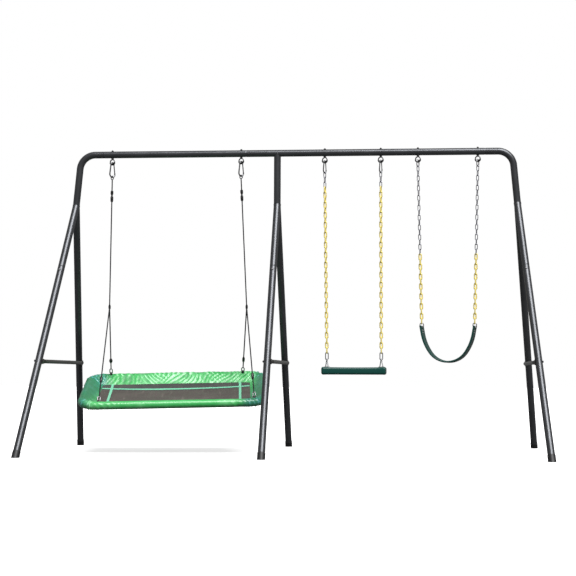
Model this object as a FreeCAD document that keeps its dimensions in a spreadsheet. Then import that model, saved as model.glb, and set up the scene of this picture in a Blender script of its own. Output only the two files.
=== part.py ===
import FreeCAD, Part

import math
import os
import re

import Sketcher
from FreeCAD import Placement, Rotation, Vector

# Steel swing set: two bays under one top rail, with a platform swing, a bench swing and a belt swing.
# Millimetres. +X along the rail, +Y from front to rear, +Z up. The origin is on the ground, midway
# between the end frames.

os.makedirs("parts", exist_ok=True)
doc = FreeCAD.newDocument("swing_set")

# ---------------------------------------------------------------- dimensions

DRIVING = {
    # frame
    "rail_height": (2205, "top rail axis above the ground"),
    "corner_half": (1600, "half the rail, to where its axis would meet the end frames"),
    "foot_half": (1805, "half the distance between the end frames at the ground"),
    "foot_spread": (900, "foot to frame plane, front and rear"),
    "centre_frame": (-125, "middle frame, from the middle of the rail"),
    "apex_height": (1825, "where two legs meet their stub"),
    "tube": (50.8, "frame tube diameter"),
    "tube_wall": (1.5, "frame tube wall"),
    "bend_radius": (115, "elbow centre line"),
    "left_seam": (-1433, "end of the left elbow"),
    "middle_seam": (-355, "joint between the two rails"),
    "right_seam": (1405, "end of the right elbow"),
    "spigot_length": (60, "swaged end inside the next tube"),
    "swage_gap": (0.3, "radial play of a swaged end"),
    "swage_run": (8, "length of the taper before a swaged end"),
    "leg_seam": (540, "leg joint, along the leg from its top"),
    "leg_bolt": (568, "leg joint bolt, along the leg from its top"),
    "foot_gap": (18, "leg end to the ground, along the leg"),
    "cap_wall": (2.4, "leg end cap wall"),
    "cap_length": (48, "leg end cap, along the leg"),
    "brace_height": (660, "brace bolts above the ground"),
    "brace_tube": (28, "brace diameter"),
    "brace_flat": (3, "thickness of a flattened brace end"),
    "brace_flat_width": (38, "width of a flattened brace end"),
    "brace_crimp": (40, "length of the taper to a flattened end"),
    "brace_overhang": (14, "flattened end past its bolt"),
    "brace_trim": (8, "corner cut off a flattened brace end"),
    "bolt_radius": (4, "frame bolts"),
    "bolt_play": (0.5, "radial play of the bolt holes"),
    "bolt_head": (7.5, "hexagon corner radius of heads and nuts"),
    "head_height": (5.3, "bolt head and nut height"),
    "rail_bolt_first": (20, "first joint bolt, from its seam"),
    "rail_bolt_second": (44, "second joint bolt, from its seam"),
    # hangers
    "eye_wire": (4.5, "eye bolt wire radius"),
    "eye_ring": (18.5, "eye bolt ring, centre-line radius"),
    "eye_turn": (-20, "turn of the eye rings about the vertical"),
    "bushing": (5.75, "wear bushing outer radius"),
    "bushing_sweep": (150, "part of the ring that the bushing covers"),
    "spacer_height": (5, "saddle spacer below the rail"),
    "spacer_radius": (10, "saddle spacer radius"),
    "eye_nut": (8.5, "cap nut hexagon corner radius"),
    "eye_nut_height": (3.5, "cap nut hexagon height"),
    "eye_clear": (3, "play between a bushing and what hangs on it"),
    # platform swing
    "platform_x": (-878, "middle of the platform"),
    "platform_z": (456, "middle of the platform above the ground"),
    "platform_hang_left": (-1365, "left platform hanger"),
    "platform_hang_right": (-395, "right platform hanger"),
    "platform_length": (1360, "outside the rim"),
    "platform_depth": (850, "outside the rim"),
    "platform_tilt": (14.5, "front edge lower than the rear edge"),
    "platform_roll": (-1.3, "left end a little lower"),
    "platform_yaw": (8, "turn about the vertical as it hangs"),
    "rim": (30, "rim cover radius round its tube"),
    "rim_reach": (95, "inner edge of the rim cover, inward of its tube"),
    "rim_fall": (32, "inner edge of the rim cover, below its tube"),
    "rim_skin": (3.5, "rim cover thickness"),
    "rim_corner": (125, "rim corner, centre-line radius"),
    "rim_tube": (16, "rim tube outer radius"),
    "rim_tube_wall": (1.5, "rim tube wall"),
    "foam_play": (0.3, "play inside and outside the rim foam"),
    "mat_gap": (1.5, "rim cover's inner edge to the mat"),
    "mat_drop": (31, "mat below the rim's middle plane"),
    "mat_depth": (26, "space that the sagging mat takes"),
    "strap_width": (26, "lengthwise webbing on the mat"),
    "cross_width": (18, "crosswise webbing on the mat"),
    "strap_thick": (2, "webbing on the mat"),
    "strap_x": (480, "crosswise webbing from the middle"),
    "strap_y": (190, "lengthwise webbing from the middle"),
    "fork_left": (-1374, "left rope fork"),
    "fork_right": (-348, "right rope fork"),
    "fork_height": (1067, "rope forks above the ground"),
    "rope": (4.5, "rope radius"),
    "front_left_link": (-525, "front left rim link, along the platform"),
    "front_right_link": (585, "front right rim link, along the platform"),
    "rear_left_link": (-500, "rear left rim link, along the platform"),
    "rear_right_link": (500, "rear right rim link, along the platform"),
    "rim_link_wire": (4, "rim link wire radius"),
    "rim_link_bow": (9.6, "rim link bow, centre-line radius"),
    "rim_link_length": (38.4, "rim link between bow centre lines"),
    "rope_gap": (0.4, "rope end to its ring or link"),
    "knot": (10, "fork knot radius"),
    "adjuster": (9.5, "rope adjuster radius"),
    "upper_adjuster": (86, "upper adjuster length"),
    "lower_adjuster": (52, "lower adjuster length"),
    "upper_adjuster_at": (0.13, "upper adjuster's middle, as a share of its rope"),
    "front_adjuster_at": (0.82, "front adjuster's middle, as a share of its rope"),
    "rear_adjuster_at": (0.87, "rear adjuster's middle, as a share of its rope"),
    "thimble_ring": (13, "rope thimble, centre-line radius"),
    "thimble_wire": (3.5, "rope thimble wire radius"),
    # carabiners: wire radius, narrow and wide bow radii, length, turn about the vertical
    "big_wire": (5, "platform carabiner wire radius"),
    "big_narrow": (15, "platform carabiner top bow"),
    "big_wide": (25, "platform carabiner bottom bow"),
    "big_length": (110, "platform carabiner between bow centre lines"),
    "big_turn": (34, "platform carabiner turn from square to the rail"),
    "small_wire": (4.5, "bench carabiner wire radius"),
    "small_narrow": (13, "bench carabiner top bow"),
    "small_wide": (20.5, "bench carabiner bottom bow"),
    "small_length": (91, "bench carabiner between bow centre lines"),
    "small_turn": (24, "bench carabiner turn from square to the rail"),
    "gate_thin": (1, "gate radius less than its hook's wire"),
    "gate_pin": (1.2, "gate pin radius"),
    "tongue": (3, "thickness of the hook's tongue in its gate"),
    "tongue_radius": (3.5, "round end of the tongue"),
    # chain swings
    "link_wire": (3, "chain link wire radius"),
    "link_bow": (8.3, "chain link bow, centre-line radius"),
    "link_play": (0.4, "play between two links"),
    "bench_x": (433, "middle of the bench seat"),
    "bench_top": (206.5, "half the distance between its hangers"),
    "bench_bottom": (199, "half the distance between its bails"),
    "bench_shift": (12, "the seat hangs this far to the right of its hangers' middle"),
    "bench_pitch": (36.94, "pitch of a bench chain"),
    "bench_count": (36, "links in a bench chain"),
    "bench_length": (470, "bench seat"),
    "bench_width": (170, "bench seat"),
    "bench_thick": (55, "bench seat"),
    "bench_edge": (18, "rounding of the bench seat's edges"),
    "bench_drop": (1579, "top of the bench seat below the rail axis"),
    "bench_chain_end": (100, "point that the bench chains aim at, above the seat"),
    "bail_wire": (3.5, "bail wire radius"),
    "bail_bow": (8, "bail bow, centre-line radius"),
    "bail_plate": (11, "bail foot plate radius"),
    "bail_spread": (52, "bail foot to the seat's middle"),
    "bail_turn": (14, "bail turn from square to the seat"),
    "oval_bow": (10, "bench link bow, centre-line radius"),
    "oval_length": (55, "bench link between bow centre lines"),
    "belt_x": (1131, "middle of the belt seat"),
    "belt_top": (218.5, "half the distance between its hangers"),
    "belt_bottom": (192, "half the distance between its rings"),
    "belt_pitch": (36.1, "pitch of a belt chain"),
    "belt_count": (32, "links in a belt chain"),
    "quick_wire": (4, "quick link wire radius"),
    "quick_bow": (16, "quick link bow, centre-line radius"),
    "quick_length": (50, "quick link between bow centre lines"),
    "quick_turn": (28, "quick link turn from square to the rail"),
    "belt_width": (140, "belt seat, front to rear"),
    "belt_thick": (11, "belt seat"),
    "belt_low_radius": (160.2, "belt outside, at the bottom"),
    "belt_low_angle": (55, "end of the bottom arc"),
    "belt_side_radius": (350, "belt outside, at the sides"),
    "belt_side_angle": (80, "slope of the belt's ends"),
    "belt_low_z": (660, "belt underside above the ground"),
    "belt_chain_end": (941, "height that the belt chains aim at"),
    "belt_end": (12, "end of the belt above the low side of its rings"),
    "ring_wire": (3.5, "belt ring wire radius"),
    "ring_bow": (13, "belt ring bow, centre-line radius"),
    "ring_length": (34, "belt ring between bow centre lines"),
    "grommet": (12, "belt grommet radius"),
    "grommet_wall": (3.8, "belt grommet wall"),
    "grommet_lip": (0.6, "belt grommet past each face of the belt"),
    "grommet_lift": (1, "middle of the grommet above the ring's low centre line"),
}


def derived(given):
    """Lengths and angles that follow from the driving ones."""
    lean = math.atan2(given["foot_half"] - given["corner_half"], given["rail_height"])
    out = {"lean": math.degrees(lean)}
    for name, slope in (("end", lean), ("mid", 0.0)):
        apex = given["apex_height"] / math.cos(slope)
        half = math.atan2(given["foot_spread"], apex)
        out[name + "_apex"] = apex
        out[name + "_corner"] = given["rail_height"] / math.cos(slope) - apex
        out[name + "_half_angle"] = math.degrees(half)
        out[name + "_leg"] = math.hypot(given["foot_spread"], apex)
        brace = given["brace_height"] / math.cos(slope)
        out[name + "_brace_at"] = (apex - brace) / math.cos(half)
        out[name + "_brace_half"] = (apex - brace) * math.tan(half)
        out[name + "_brace_up"] = brace
    turn = math.radians(90) - lean
    out["elbow_tangent"] = given["bend_radius"] * math.tan(turn / 2)
    return out


given = {name: value for name, (value, note) in DRIVING.items()}
notes = {name: note for name, (value, note) in DRIVING.items()}
worked = derived(given)
size = {**given, **worked}

sheet = doc.addObject("Spreadsheet::Sheet", "Dimensions")
for row, (name, value) in enumerate(size.items(), 1):
    sheet.set(f"A{row}", name)
    sheet.set(f"B{row}", repr(float(value)))
    sheet.set(f"C{row}", notes.get(name, "worked out"))
    sheet.setAlias(f"B{row}", name)
doc.recompute()

NODES = []


def bound(text):
    """An expression on the sheet, from plain words."""
    def named(word):
        return "Dimensions." + word[0] if word[0] in size else word[0]

    return re.sub(r"[a-z][a-z_]*", named, text)


def tie(item, **texts):
    for name, text in texts.items():
        item.setExpression(name, bound(text))


def node(item, label, where=None):
    """Names a finished sub-part and puts it in its place."""
    item.Label = label
    if where is not None:
        item.Placement = where
    NODES.append(item)
    return item


def shift(x, y, z):
    return Placement(Vector(x, y, z), Rotation())


def turned(axis, angle):
    return Placement(Vector(), Rotation(axis, angle))


X, Y, Z = Vector(1, 0, 0), Vector(0, 1, 0), Vector(0, 0, 1)


def aim(start, end, turn=0):
    """The place of a piece drawn along +Z, put from start towards end."""
    return Placement(start, Rotation(Z, end - start)).multiply(turned(Z, turn))


# ---------------------------------------------------------------- sketches and bodies


def new_body(name):
    return doc.addObject("PartDesign::Body", name)


def new_sketch(body, name, role, offset=None):
    sketch = body.newObject("Sketcher::SketchObject", name)
    face = next(item for item in body.Origin.OriginFeatures if item.Role == role)
    sketch.AttachmentSupport = [(face, "")]
    sketch.MapMode = "FlatFace"
    if offset is not None:
        sketch.AttachmentOffset = offset
    return sketch


def polygon(body, name, role, corners, offset=None):
    """A closed outline whose corners are pairs of sheet expressions."""
    sketch = new_sketch(body, name, role, offset)
    count = len(corners)
    angles = [2 * math.pi * index / count for index in range(count)]
    start = [Vector(math.cos(angle), math.sin(angle), 0) * 50 for angle in angles]
    for index in range(count):
        sketch.addGeometry(Part.LineSegment(start[index], start[(index + 1) % count]), False)
    for index in range(count):
        sketch.addConstraint(Sketcher.Constraint("Coincident", index, 2, (index + 1) % count, 1))
    for index, corner in enumerate(corners):
        for kind, text, first in zip(("DistanceX", "DistanceY"), corner, start[index][:2]):
            number = sketch.addConstraint(Sketcher.Constraint(kind, -1, 1, index, 1, first))
            sketch.setExpression(f"Constraints[{number}]", bound(text))
    return sketch


def circles(body, name, role, rounds, offset=None):
    """Circles given as (radius, x, y) sheet expressions."""
    sketch = new_sketch(body, name, role, offset)
    for index, (radius, *centre) in enumerate(rounds):
        sketch.addGeometry(Part.Circle(Vector(index + 1, index + 1, 0), Z, 1 + index), False)
        number = sketch.addConstraint(Sketcher.Constraint("Radius", index, 1 + index))
        sketch.setExpression(f"Constraints[{number}]", bound(radius))
        for kind, text in zip(("DistanceX", "DistanceY"), centre):
            number = sketch.addConstraint(Sketcher.Constraint(kind, -1, 1, index, 3, index + 1))
            sketch.setExpression(f"Constraints[{number}]", bound(text))
    return sketch


def feature(body, kind, name, profile, **values):
    item = body.newObject("PartDesign::" + kind, name)
    item.Profile = profile
    for key, value in values.items():
        setattr(item, key, value)
    body.Tip = item
    return item


def cut_through(body, name, profile):
    return feature(body, "Pocket", name, profile, Type="ThroughAll", SideType="Symmetric")


def revolve(body, name, profile):
    return feature(body, "Revolution", name, profile, ReferenceAxis=(profile, ["V_Axis"]), Angle=360)


# ---------------------------------------------------------------- primitives and booleans


def primitive(kind, where=None, **texts):
    item = doc.addObject("Part::" + kind, kind)
    tie(item, **texts)
    if where is not None:
        item.Placement = where
    return item


def cylinder(radius, height, where=None):
    return primitive("Cylinder", where, Radius=radius, Height=height)


def block(length, width, height, where):
    """A box whose place is its middle in X and Y, and its base in Z."""
    half = shift(-length / 2, -width / 2, 0)
    item = doc.addObject("Part::Box", "Box")
    item.Length, item.Width, item.Height = length, width, height
    item.Placement = where.multiply(half)
    return item


def cut(base, tool):
    item = doc.addObject("Part::Cut", "Cut")
    item.Base, item.Tool = base, tool
    return item


def common(*items):
    item = doc.addObject("Part::MultiCommon", "Common")
    item.Shapes = list(items)
    return item


def fuse(*items):
    item = doc.addObject("Part::MultiFuse", "Fuse")
    item.Shapes = list(items)
    return item


def group(items):
    """Separate solids that share one node."""
    item = doc.addObject("Part::Compound", "Group")
    item.Links = list(items)
    return item


def sweep(section, edges):
    """Solid with one section all along a path of straight runs and arcs."""
    spine = doc.addObject("Part::Feature", "Spine")
    spine.Shape = Part.Wire(edges)
    item = doc.addObject("Part::Sweep", "Sweep")
    item.Sections = [section]
    item.Spine = (spine, [f"Edge{number}" for number in range(1, len(edges) + 1)])
    item.Solid = True
    return item


def rod(edges, radius):
    """Round bar bent along a path."""
    first = edges[0]
    start = first.valueAt(first.FirstParameter)
    where = aim(start, start + first.tangentAt(first.FirstParameter))
    return sweep(primitive("Circle", where, Radius=radius), edges)


def copies(shape, places):
    """The same solid at several places, as one shape."""
    out = []
    for where in places:
        solid = shape.copy()
        solid.Placement = where.multiply(solid.Placement)
        out.append(solid)
    return Part.makeCompound(out)


def line(first, second):
    return Part.LineSegment(first, second).toShape()


def arc(centre, radius, first, last):
    """An arc in the XZ plane, from one angle to another, counted from +X towards +Z."""
    middle = (first + last) / 2

    def at(angle):
        turn = math.radians(angle)
        return centre + Vector(math.cos(turn), 0, math.sin(turn)) * radius

    return Part.Arc(at(first), at(middle), at(last)).toShape()


# ---------------------------------------------------------------- frame tubes

AXES = {
    "left": (shift(-size["foot_half"], 0, 0).multiply(turned(Y, size["lean"])), "end"),
    "centre": (shift(size["centre_frame"], 0, 0), "mid"),
    "right": (shift(size["foot_half"], 0, 0).multiply(turned(Y, -size["lean"])), "end"),
}
OUTER = "tube / 2"
INNER = "tube / 2 - tube_wall"
SWAGED = "tube / 2 - tube_wall - swage_gap"
SWAGED_BORE = "tube / 2 - 2 * tube_wall - swage_gap"


def apex(side):
    where, kind = AXES[side]
    return where.multiply(shift(0, 0, size[kind + "_apex"]))


def tube_profile(body, low, high, swage_low=False, swage_high=False):
    """Half section of a tube from low to high along +Z, with a swaged end past either."""
    bore = [(INNER, low), (INNER, high)]
    skin = [(OUTER, high), (OUTER, low)]
    if swage_high:
        ends = (f"{high} + swage_run", f"{high} + swage_run + spigot_length")
        bore += [(SWAGED_BORE, text) for text in ends]
        skin = [(SWAGED, text) for text in reversed(ends)] + skin
    if swage_low:
        ends = (f"{low} - swage_run - spigot_length", f"{low} - swage_run")
        bore = [(SWAGED_BORE, text) for text in ends] + bore
        skin += [(SWAGED, text) for text in reversed(ends)]
    return polygon(body, "profile", "XZ_Plane", bore + skin)


def holes(body, name, role, radius, positions):
    """Round holes across a tube, along the normal of the given plane."""
    rounds = [(radius, "0", text) for text in positions]
    cut_through(body, name, circles(body, name + "_outline", role, rounds))


def mitre(body, kind, towards_leg):
    """Cuts the end of a tube where it meets the other two tubes of its end frame."""
    reach = "tube * 0.6"
    rise = f"{reach} * tan({kind}_half_angle / 2 * 1 deg)"
    split = f"{reach} / tan({kind}_half_angle * 1 deg)" if towards_leg else rise
    corners = [("0", "0"), (reach, rise), (reach, "-tube"), ("-" + reach, "-tube"), ("-" + reach, split)]
    cut_through(body, "mitre", polygon(body, "mitre_outline", "YZ_Plane", corners))


def elbow(side):
    """Stub, bend and horizontal end in one bent tube."""
    seam = {"left": "-left_seam", "right": "right_seam"}[side]
    body = new_body("elbow_" + side)
    path = new_sketch(body, "path", "XZ_Plane")
    lean = math.radians(size["lean"])
    run = Vector(math.cos(lean), math.sin(lean), 0)
    corner = Vector(0, size["end_corner"], 0)
    rise = corner - Vector(0, size["elbow_tangent"], 0)
    level = corner + run * size["elbow_tangent"]
    centre = rise + Vector(size["bend_radius"], 0, 0)
    inward = corner - centre
    middle = centre + inward * (size["bend_radius"] / inward.Length)
    far = corner + run * (size["corner_half"] - sheet_value(seam))
    path.addGeometry(Part.LineSegment(Vector(), rise), False)
    path.addGeometry(Part.Arc(rise, middle, level), False)
    path.addGeometry(Part.LineSegment(level, far), False)
    path.addConstraint(Sketcher.Constraint("Coincident", 0, 1, -1, 1))
    path.addConstraint(Sketcher.Constraint("Vertical", 0))
    path.addConstraint(Sketcher.Constraint("Tangent", 0, 2, 1, 2))
    path.addConstraint(Sketcher.Constraint("Tangent", 1, 1, 2, 1))
    for kind, index, value, text in (
        ("Radius", 1, size["bend_radius"], "bend_radius"),
        ("Distance", 0, rise.y, "end_corner - elbow_tangent"),
        ("Distance", 2, (far - level).Length, f"corner_half - ({seam}) - elbow_tangent"),
        ("Angle", 2, lean, "lean * 1 deg"),
    ):
        number = path.addConstraint(Sketcher.Constraint(kind, index, value))
        path.setExpression(f"Constraints[{number}]", bound(text))
    ring = circles(body, "section", "XY_Plane", [(OUTER, "0", "0"), (INNER, "0", "0")])
    feature(body, "AdditivePipe", "bent_tube", ring, Spine=path)
    mitre(body, "end", False)
    spots = []
    for name in ("rail_bolt_first", "rail_bolt_second"):
        along = f"(corner_half - ({seam}) - {name})"
        height = f"end_corner + {along} * sin(lean * 1 deg)"
        spots.append(("bolt_radius + bolt_play", f"{along} * cos(lean * 1 deg)", height))
    cut_through(body, "bolt_holes", circles(body, "bolt_outline", "XZ_Plane", spots))
    half_turn = turned(Z, 180) if side == "right" else Placement()
    node(body, "elbow_" + side, apex(side).multiply(half_turn))


def rail(label, start, end, swage_start, swage_end, hangers, bolts):
    """One length of the top rail, with holes for its hangers and joint bolts."""
    body = new_body(label)
    revolve(body, "tube_wall", tube_profile(body, "0", f"({end}) - ({start})", swage_start, swage_end))
    holes(body, "hanger_holes", "YZ_Plane", "eye_wire + bolt_play", [f"{x} - ({start})" for x in hangers])
    holes(body, "bolt_holes", "XZ_Plane", "bolt_radius + bolt_play", [f"{x} - ({start})" for x in bolts])
    first = Vector(sheet_value(start), 0, size["rail_height"])
    node(body, label, aim(first, first + X))


def sheet_value(text):
    """The value of a sum of sheet names and signs, such as left_seam + swage_run."""
    total = 0.0
    for sign, name in re.findall(r"([+-]?)\s*([a-z_]+)", text):
        total += -size[name] if sign == "-" else size[name]
    return total


def centre_stub():
    """Short tube under the rail, notched to fit it."""
    body = new_body("centre_stub")
    revolve(body, "tube_wall", tube_profile(body, "0", "mid_corner"))
    mitre(body, "mid", False)
    saddle = circles(body, "saddle_outline", "YZ_Plane", [("tube / 2 + 0.05", "0", "mid_corner")])
    cut_through(body, "saddle", saddle)
    node(body, "centre_stub", apex("centre"))


def leg_place(side, end):
    """A leg is drawn from its top, at the origin, down along +Z, with its outer face towards +Y."""
    half = size[AXES[side][1] + "_half_angle"]
    facing = turned(Z, 0 if end == "front" else 180)
    return apex(side).multiply(facing).multiply(turned(X, 180 - half))


def legs(side, end):
    kind = AXES[side][1]
    upper = new_body(f"upper_leg_{side}_{end}")
    revolve(upper, "tube_wall", tube_profile(upper, "0", "leg_seam - swage_run", False, True))
    mitre(upper, kind, True)
    lower = new_body(f"lower_leg_{side}_{end}")
    revolve(lower, "tube_wall", tube_profile(lower, "leg_seam", f"{kind}_leg - foot_gap"))
    for body in (upper, lower):
        holes(body, "joint_hole", "XZ_Plane", "bolt_radius + bolt_play", ["leg_bolt"])
    holes(lower, "brace_hole", "YZ_Plane", "bolt_radius + bolt_play", [f"{kind}_brace_at"])
    node(upper, f"upper_leg_{side}_{end}", leg_place(side, end))
    node(lower, f"lower_leg_{side}_{end}", leg_place(side, end))


def brace_offset(side):
    """The brace lies flat against the legs, on the side towards the swings it shares a bay with."""
    distance = size["tube"] / 2 + size["bolt_play"] + size["brace_flat"] / 2
    return -distance if side == "right" else distance


def brace(side):
    """Tube with both ends flattened and bolted to the legs."""
    kind = AXES[side][1]
    half = f"{kind}_brace_half"
    body = new_body("brace_" + side)
    plain = f"{half} - brace_overhang - brace_crimp"
    walls = [("brace_tube / 2", "0", "0"), ("brace_tube / 2 - tube_wall", "0", "0")]
    ring = circles(body, "section", "XY_Plane", walls)
    tube = feature(body, "Pad", "brace_wall", ring, SideType="Symmetric")
    tie(tube, Length=f"2 * ({plain})")
    for name, sign in (("front", "-"), ("rear", "")):
        wide, thin = "brace_flat_width / 2", "brace_flat / 2"
        round_end = circles(body, name + "_round", "XY_Plane", [("brace_tube / 2", "0", "0")])
        tie(round_end, **{"AttachmentOffset.Base.z": f"{sign}({plain})"})
        corners = [(thin, wide), ("-" + thin, wide), ("-" + thin, "-" + wide), (thin, "-" + wide)]
        flat_end = polygon(body, name + "_flat", "XY_Plane", corners)
        tie(flat_end, **{"AttachmentOffset.Base.z": f"{sign}({half} - brace_overhang)"})
        feature(body, "AdditiveLoft", name + "_crimp", round_end, Sections=[flat_end])
        inner, outer = f"{sign}({half} - brace_overhang)", f"{sign}({half} + brace_overhang)"
        trim = f"{sign}({half} + brace_overhang - brace_trim)"
        corners = [("-" + wide, inner), (wide, inner), (wide, trim), (f"{wide} - brace_trim", outer)]
        corners += [(f"brace_trim - {wide}", outer), ("-" + wide, trim)]
        plate = polygon(body, name + "_plate", "YZ_Plane", corners)
        tie(feature(body, "Pad", name + "_end", plate, SideType="Symmetric"), Length="brace_flat")
        holes(body, name + "_hole", "YZ_Plane", "bolt_radius + bolt_play", [f"{sign}{half}"])
    where, kind = AXES[side]
    middle = where.multiply(shift(brace_offset(side), 0, size[kind + "_brace_up"]))
    node(body, "brace_" + side, middle.multiply(aim(Vector(), Y)))


def leg_cap(side, end):
    """Closed plastic cap with a flat sole."""
    length = size[AXES[side][1] + "_leg"]
    place = leg_place(side, end)
    top = length - size["cap_length"]
    outside = cylinder("tube / 2 + cap_wall", "2 * cap_length", place.multiply(shift(0, 0, top)))
    inside = cylinder("tube / 2 + 0.1", "cap_length - foot_gap + 0.3", place.multiply(shift(0, 0, top)))
    foot = place.multVec(Vector(0, 0, length))
    above = block(200, 200, 200, shift(foot.x, foot.y, 0))
    return common(cut(outside, inside), above)


# ---------------------------------------------------------------- fasteners

BOLTS, NUTS = [], []


def bolt(where, head_seat, nut_seat):
    """Hexagon bolt along +Z of its place, with its head at head_seat and its nut at -nut_seat."""
    head = primitive("Prism", shift(0, 0, head_seat), Circumradius="bolt_head", Height="head_height")
    shank = cylinder("bolt_radius", "head_height", shift(0, 0, -nut_seat - size["head_height"] - 2))
    shank.setExpression("Height", None)
    shank.Height = head_seat + nut_seat + size["head_height"] + 3
    whole = fuse(head, shank)
    whole.Placement = where
    BOLTS.append(whole)
    base = shift(0, 0, -nut_seat - size["head_height"])
    nut = cut(
        primitive("Prism", base, Circumradius="bolt_head", Height="head_height"),
        cylinder("bolt_radius + 0.05", "head_height * 3", base.multiply(shift(0, 0, -size["head_height"]))),
    )
    nut.Placement = where
    NUTS.append(nut)


def frame_bolts():
    seat = size["tube"] / 2 + size["bolt_play"]
    front = turned(X, 90)
    first, second = size["rail_bolt_first"], size["rail_bolt_second"]
    for seam, sign in (("left_seam", -1), ("middle_seam", 1), ("right_seam", 1)):
        for distance in (first, second):
            x = size[seam] + sign * distance
            bolt(shift(x, 0, size["rail_height"]).multiply(front), seat, seat)
    plate = size["brace_flat"] + size["bolt_play"]
    for side, (where, kind) in AXES.items():
        for end, sign in (("front", -1), ("rear", 1)):
            joint = leg_place(side, end).multiply(shift(0, 0, size["leg_bolt"]))
            bolt(joint.multiply(turned(X, -90)), seat, seat)
            spot = Vector(0, sign * size[kind + "_brace_half"], size[kind + "_brace_up"])
            outward = turned(Y, 90 if brace_offset(side) > 0 else -90)
            bolt(where.multiply(shift(*spot)).multiply(outward), seat + plate, seat)
    node(group(BOLTS), "frame_bolts")
    node(group(NUTS), "lock_nuts")


# ---------------------------------------------------------------- hangers

HANGERS = {
    "platform_left": size["platform_hang_left"],
    "platform_right": size["platform_hang_right"],
    "bench_left": size["bench_x"] - size["bench_top"],
    "bench_right": size["bench_x"] + size["bench_top"],
    "belt_left": size["belt_x"] - size["belt_top"],
    "belt_right": size["belt_x"] + size["belt_top"],
}
RAIL_LOW = size["rail_height"] - size["tube"] / 2
RAIL_TOP = size["rail_height"] + size["tube"] / 2
RING_Z = RAIL_LOW - size["spacer_height"] - size["bolt_play"] - size["eye_wire"] - size["eye_ring"]
PIVOT_Z = RING_Z - size["eye_ring"]


def eye_bolt(x):
    ring = primitive("Torus", turned(X, 90), Radius1="eye_ring", Radius2="eye_wire")
    shank = cylinder("eye_wire", "eye_ring", shift(0, 0, size["eye_ring"]))
    shank.setExpression("Height", None)
    shank.Height = RAIL_TOP + size["eye_nut_height"] + 3 - RING_Z - size["eye_ring"]
    whole = fuse(ring, shank)
    whole.Placement = shift(x, 0, RING_Z).multiply(turned(Z, size["eye_turn"]))
    return whole


def wear_bushing(x):
    """Sleeve on the lower part of an eye, which the swing's hook runs on."""
    sleeve = primitive("Torus", Radius1="eye_ring", Radius2="bushing", Angle3="bushing_sweep")
    sleeve.Placement = turned(X, 90).multiply(turned(Z, -90 - size["bushing_sweep"] / 2))
    wire = primitive("Torus", turned(X, 90), Radius1="eye_ring", Radius2="eye_wire + 0.05")
    whole = cut(sleeve, wire)
    whole.Placement = shift(x, 0, RING_Z).multiply(turned(Z, size["eye_turn"]))
    return whole


def rail_bar(x):
    start = Vector(x - 50, 0, size["rail_height"])
    return cylinder("tube / 2 + 0.05", "2 * tube", aim(start, start + X))


def eye_spacer(x):
    """Saddle between the rail and the shoulder of an eye bolt."""
    body = cylinder("spacer_radius", "spacer_height + 3", shift(x, 0, RAIL_LOW - size["spacer_height"]))
    bore = cylinder("eye_wire + 0.2", "spacer_height * 4", shift(x, 0, RAIL_LOW - 2 * size["spacer_height"]))
    return cut(cut(body, bore), rail_bar(x))


def eye_nut(x):
    """Domed cap nut on top of the rail."""
    base = shift(x, 0, RAIL_TOP - 1.5)
    body = primitive("Prism", base, Circumradius="eye_nut", Height="eye_nut_height + 1.5")
    dome = primitive("Sphere", shift(x, 0, RAIL_TOP + size["eye_nut_height"] - 1), Radius="eye_nut * 0.82")
    bore = cylinder("eye_wire + 0.05", "eye_nut_height + 4.8", shift(x, 0, RAIL_TOP - 1.5))
    return cut(cut(fuse(body, dome), bore), rail_bar(x))


# ---------------------------------------------------------------- hooks and links


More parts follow.
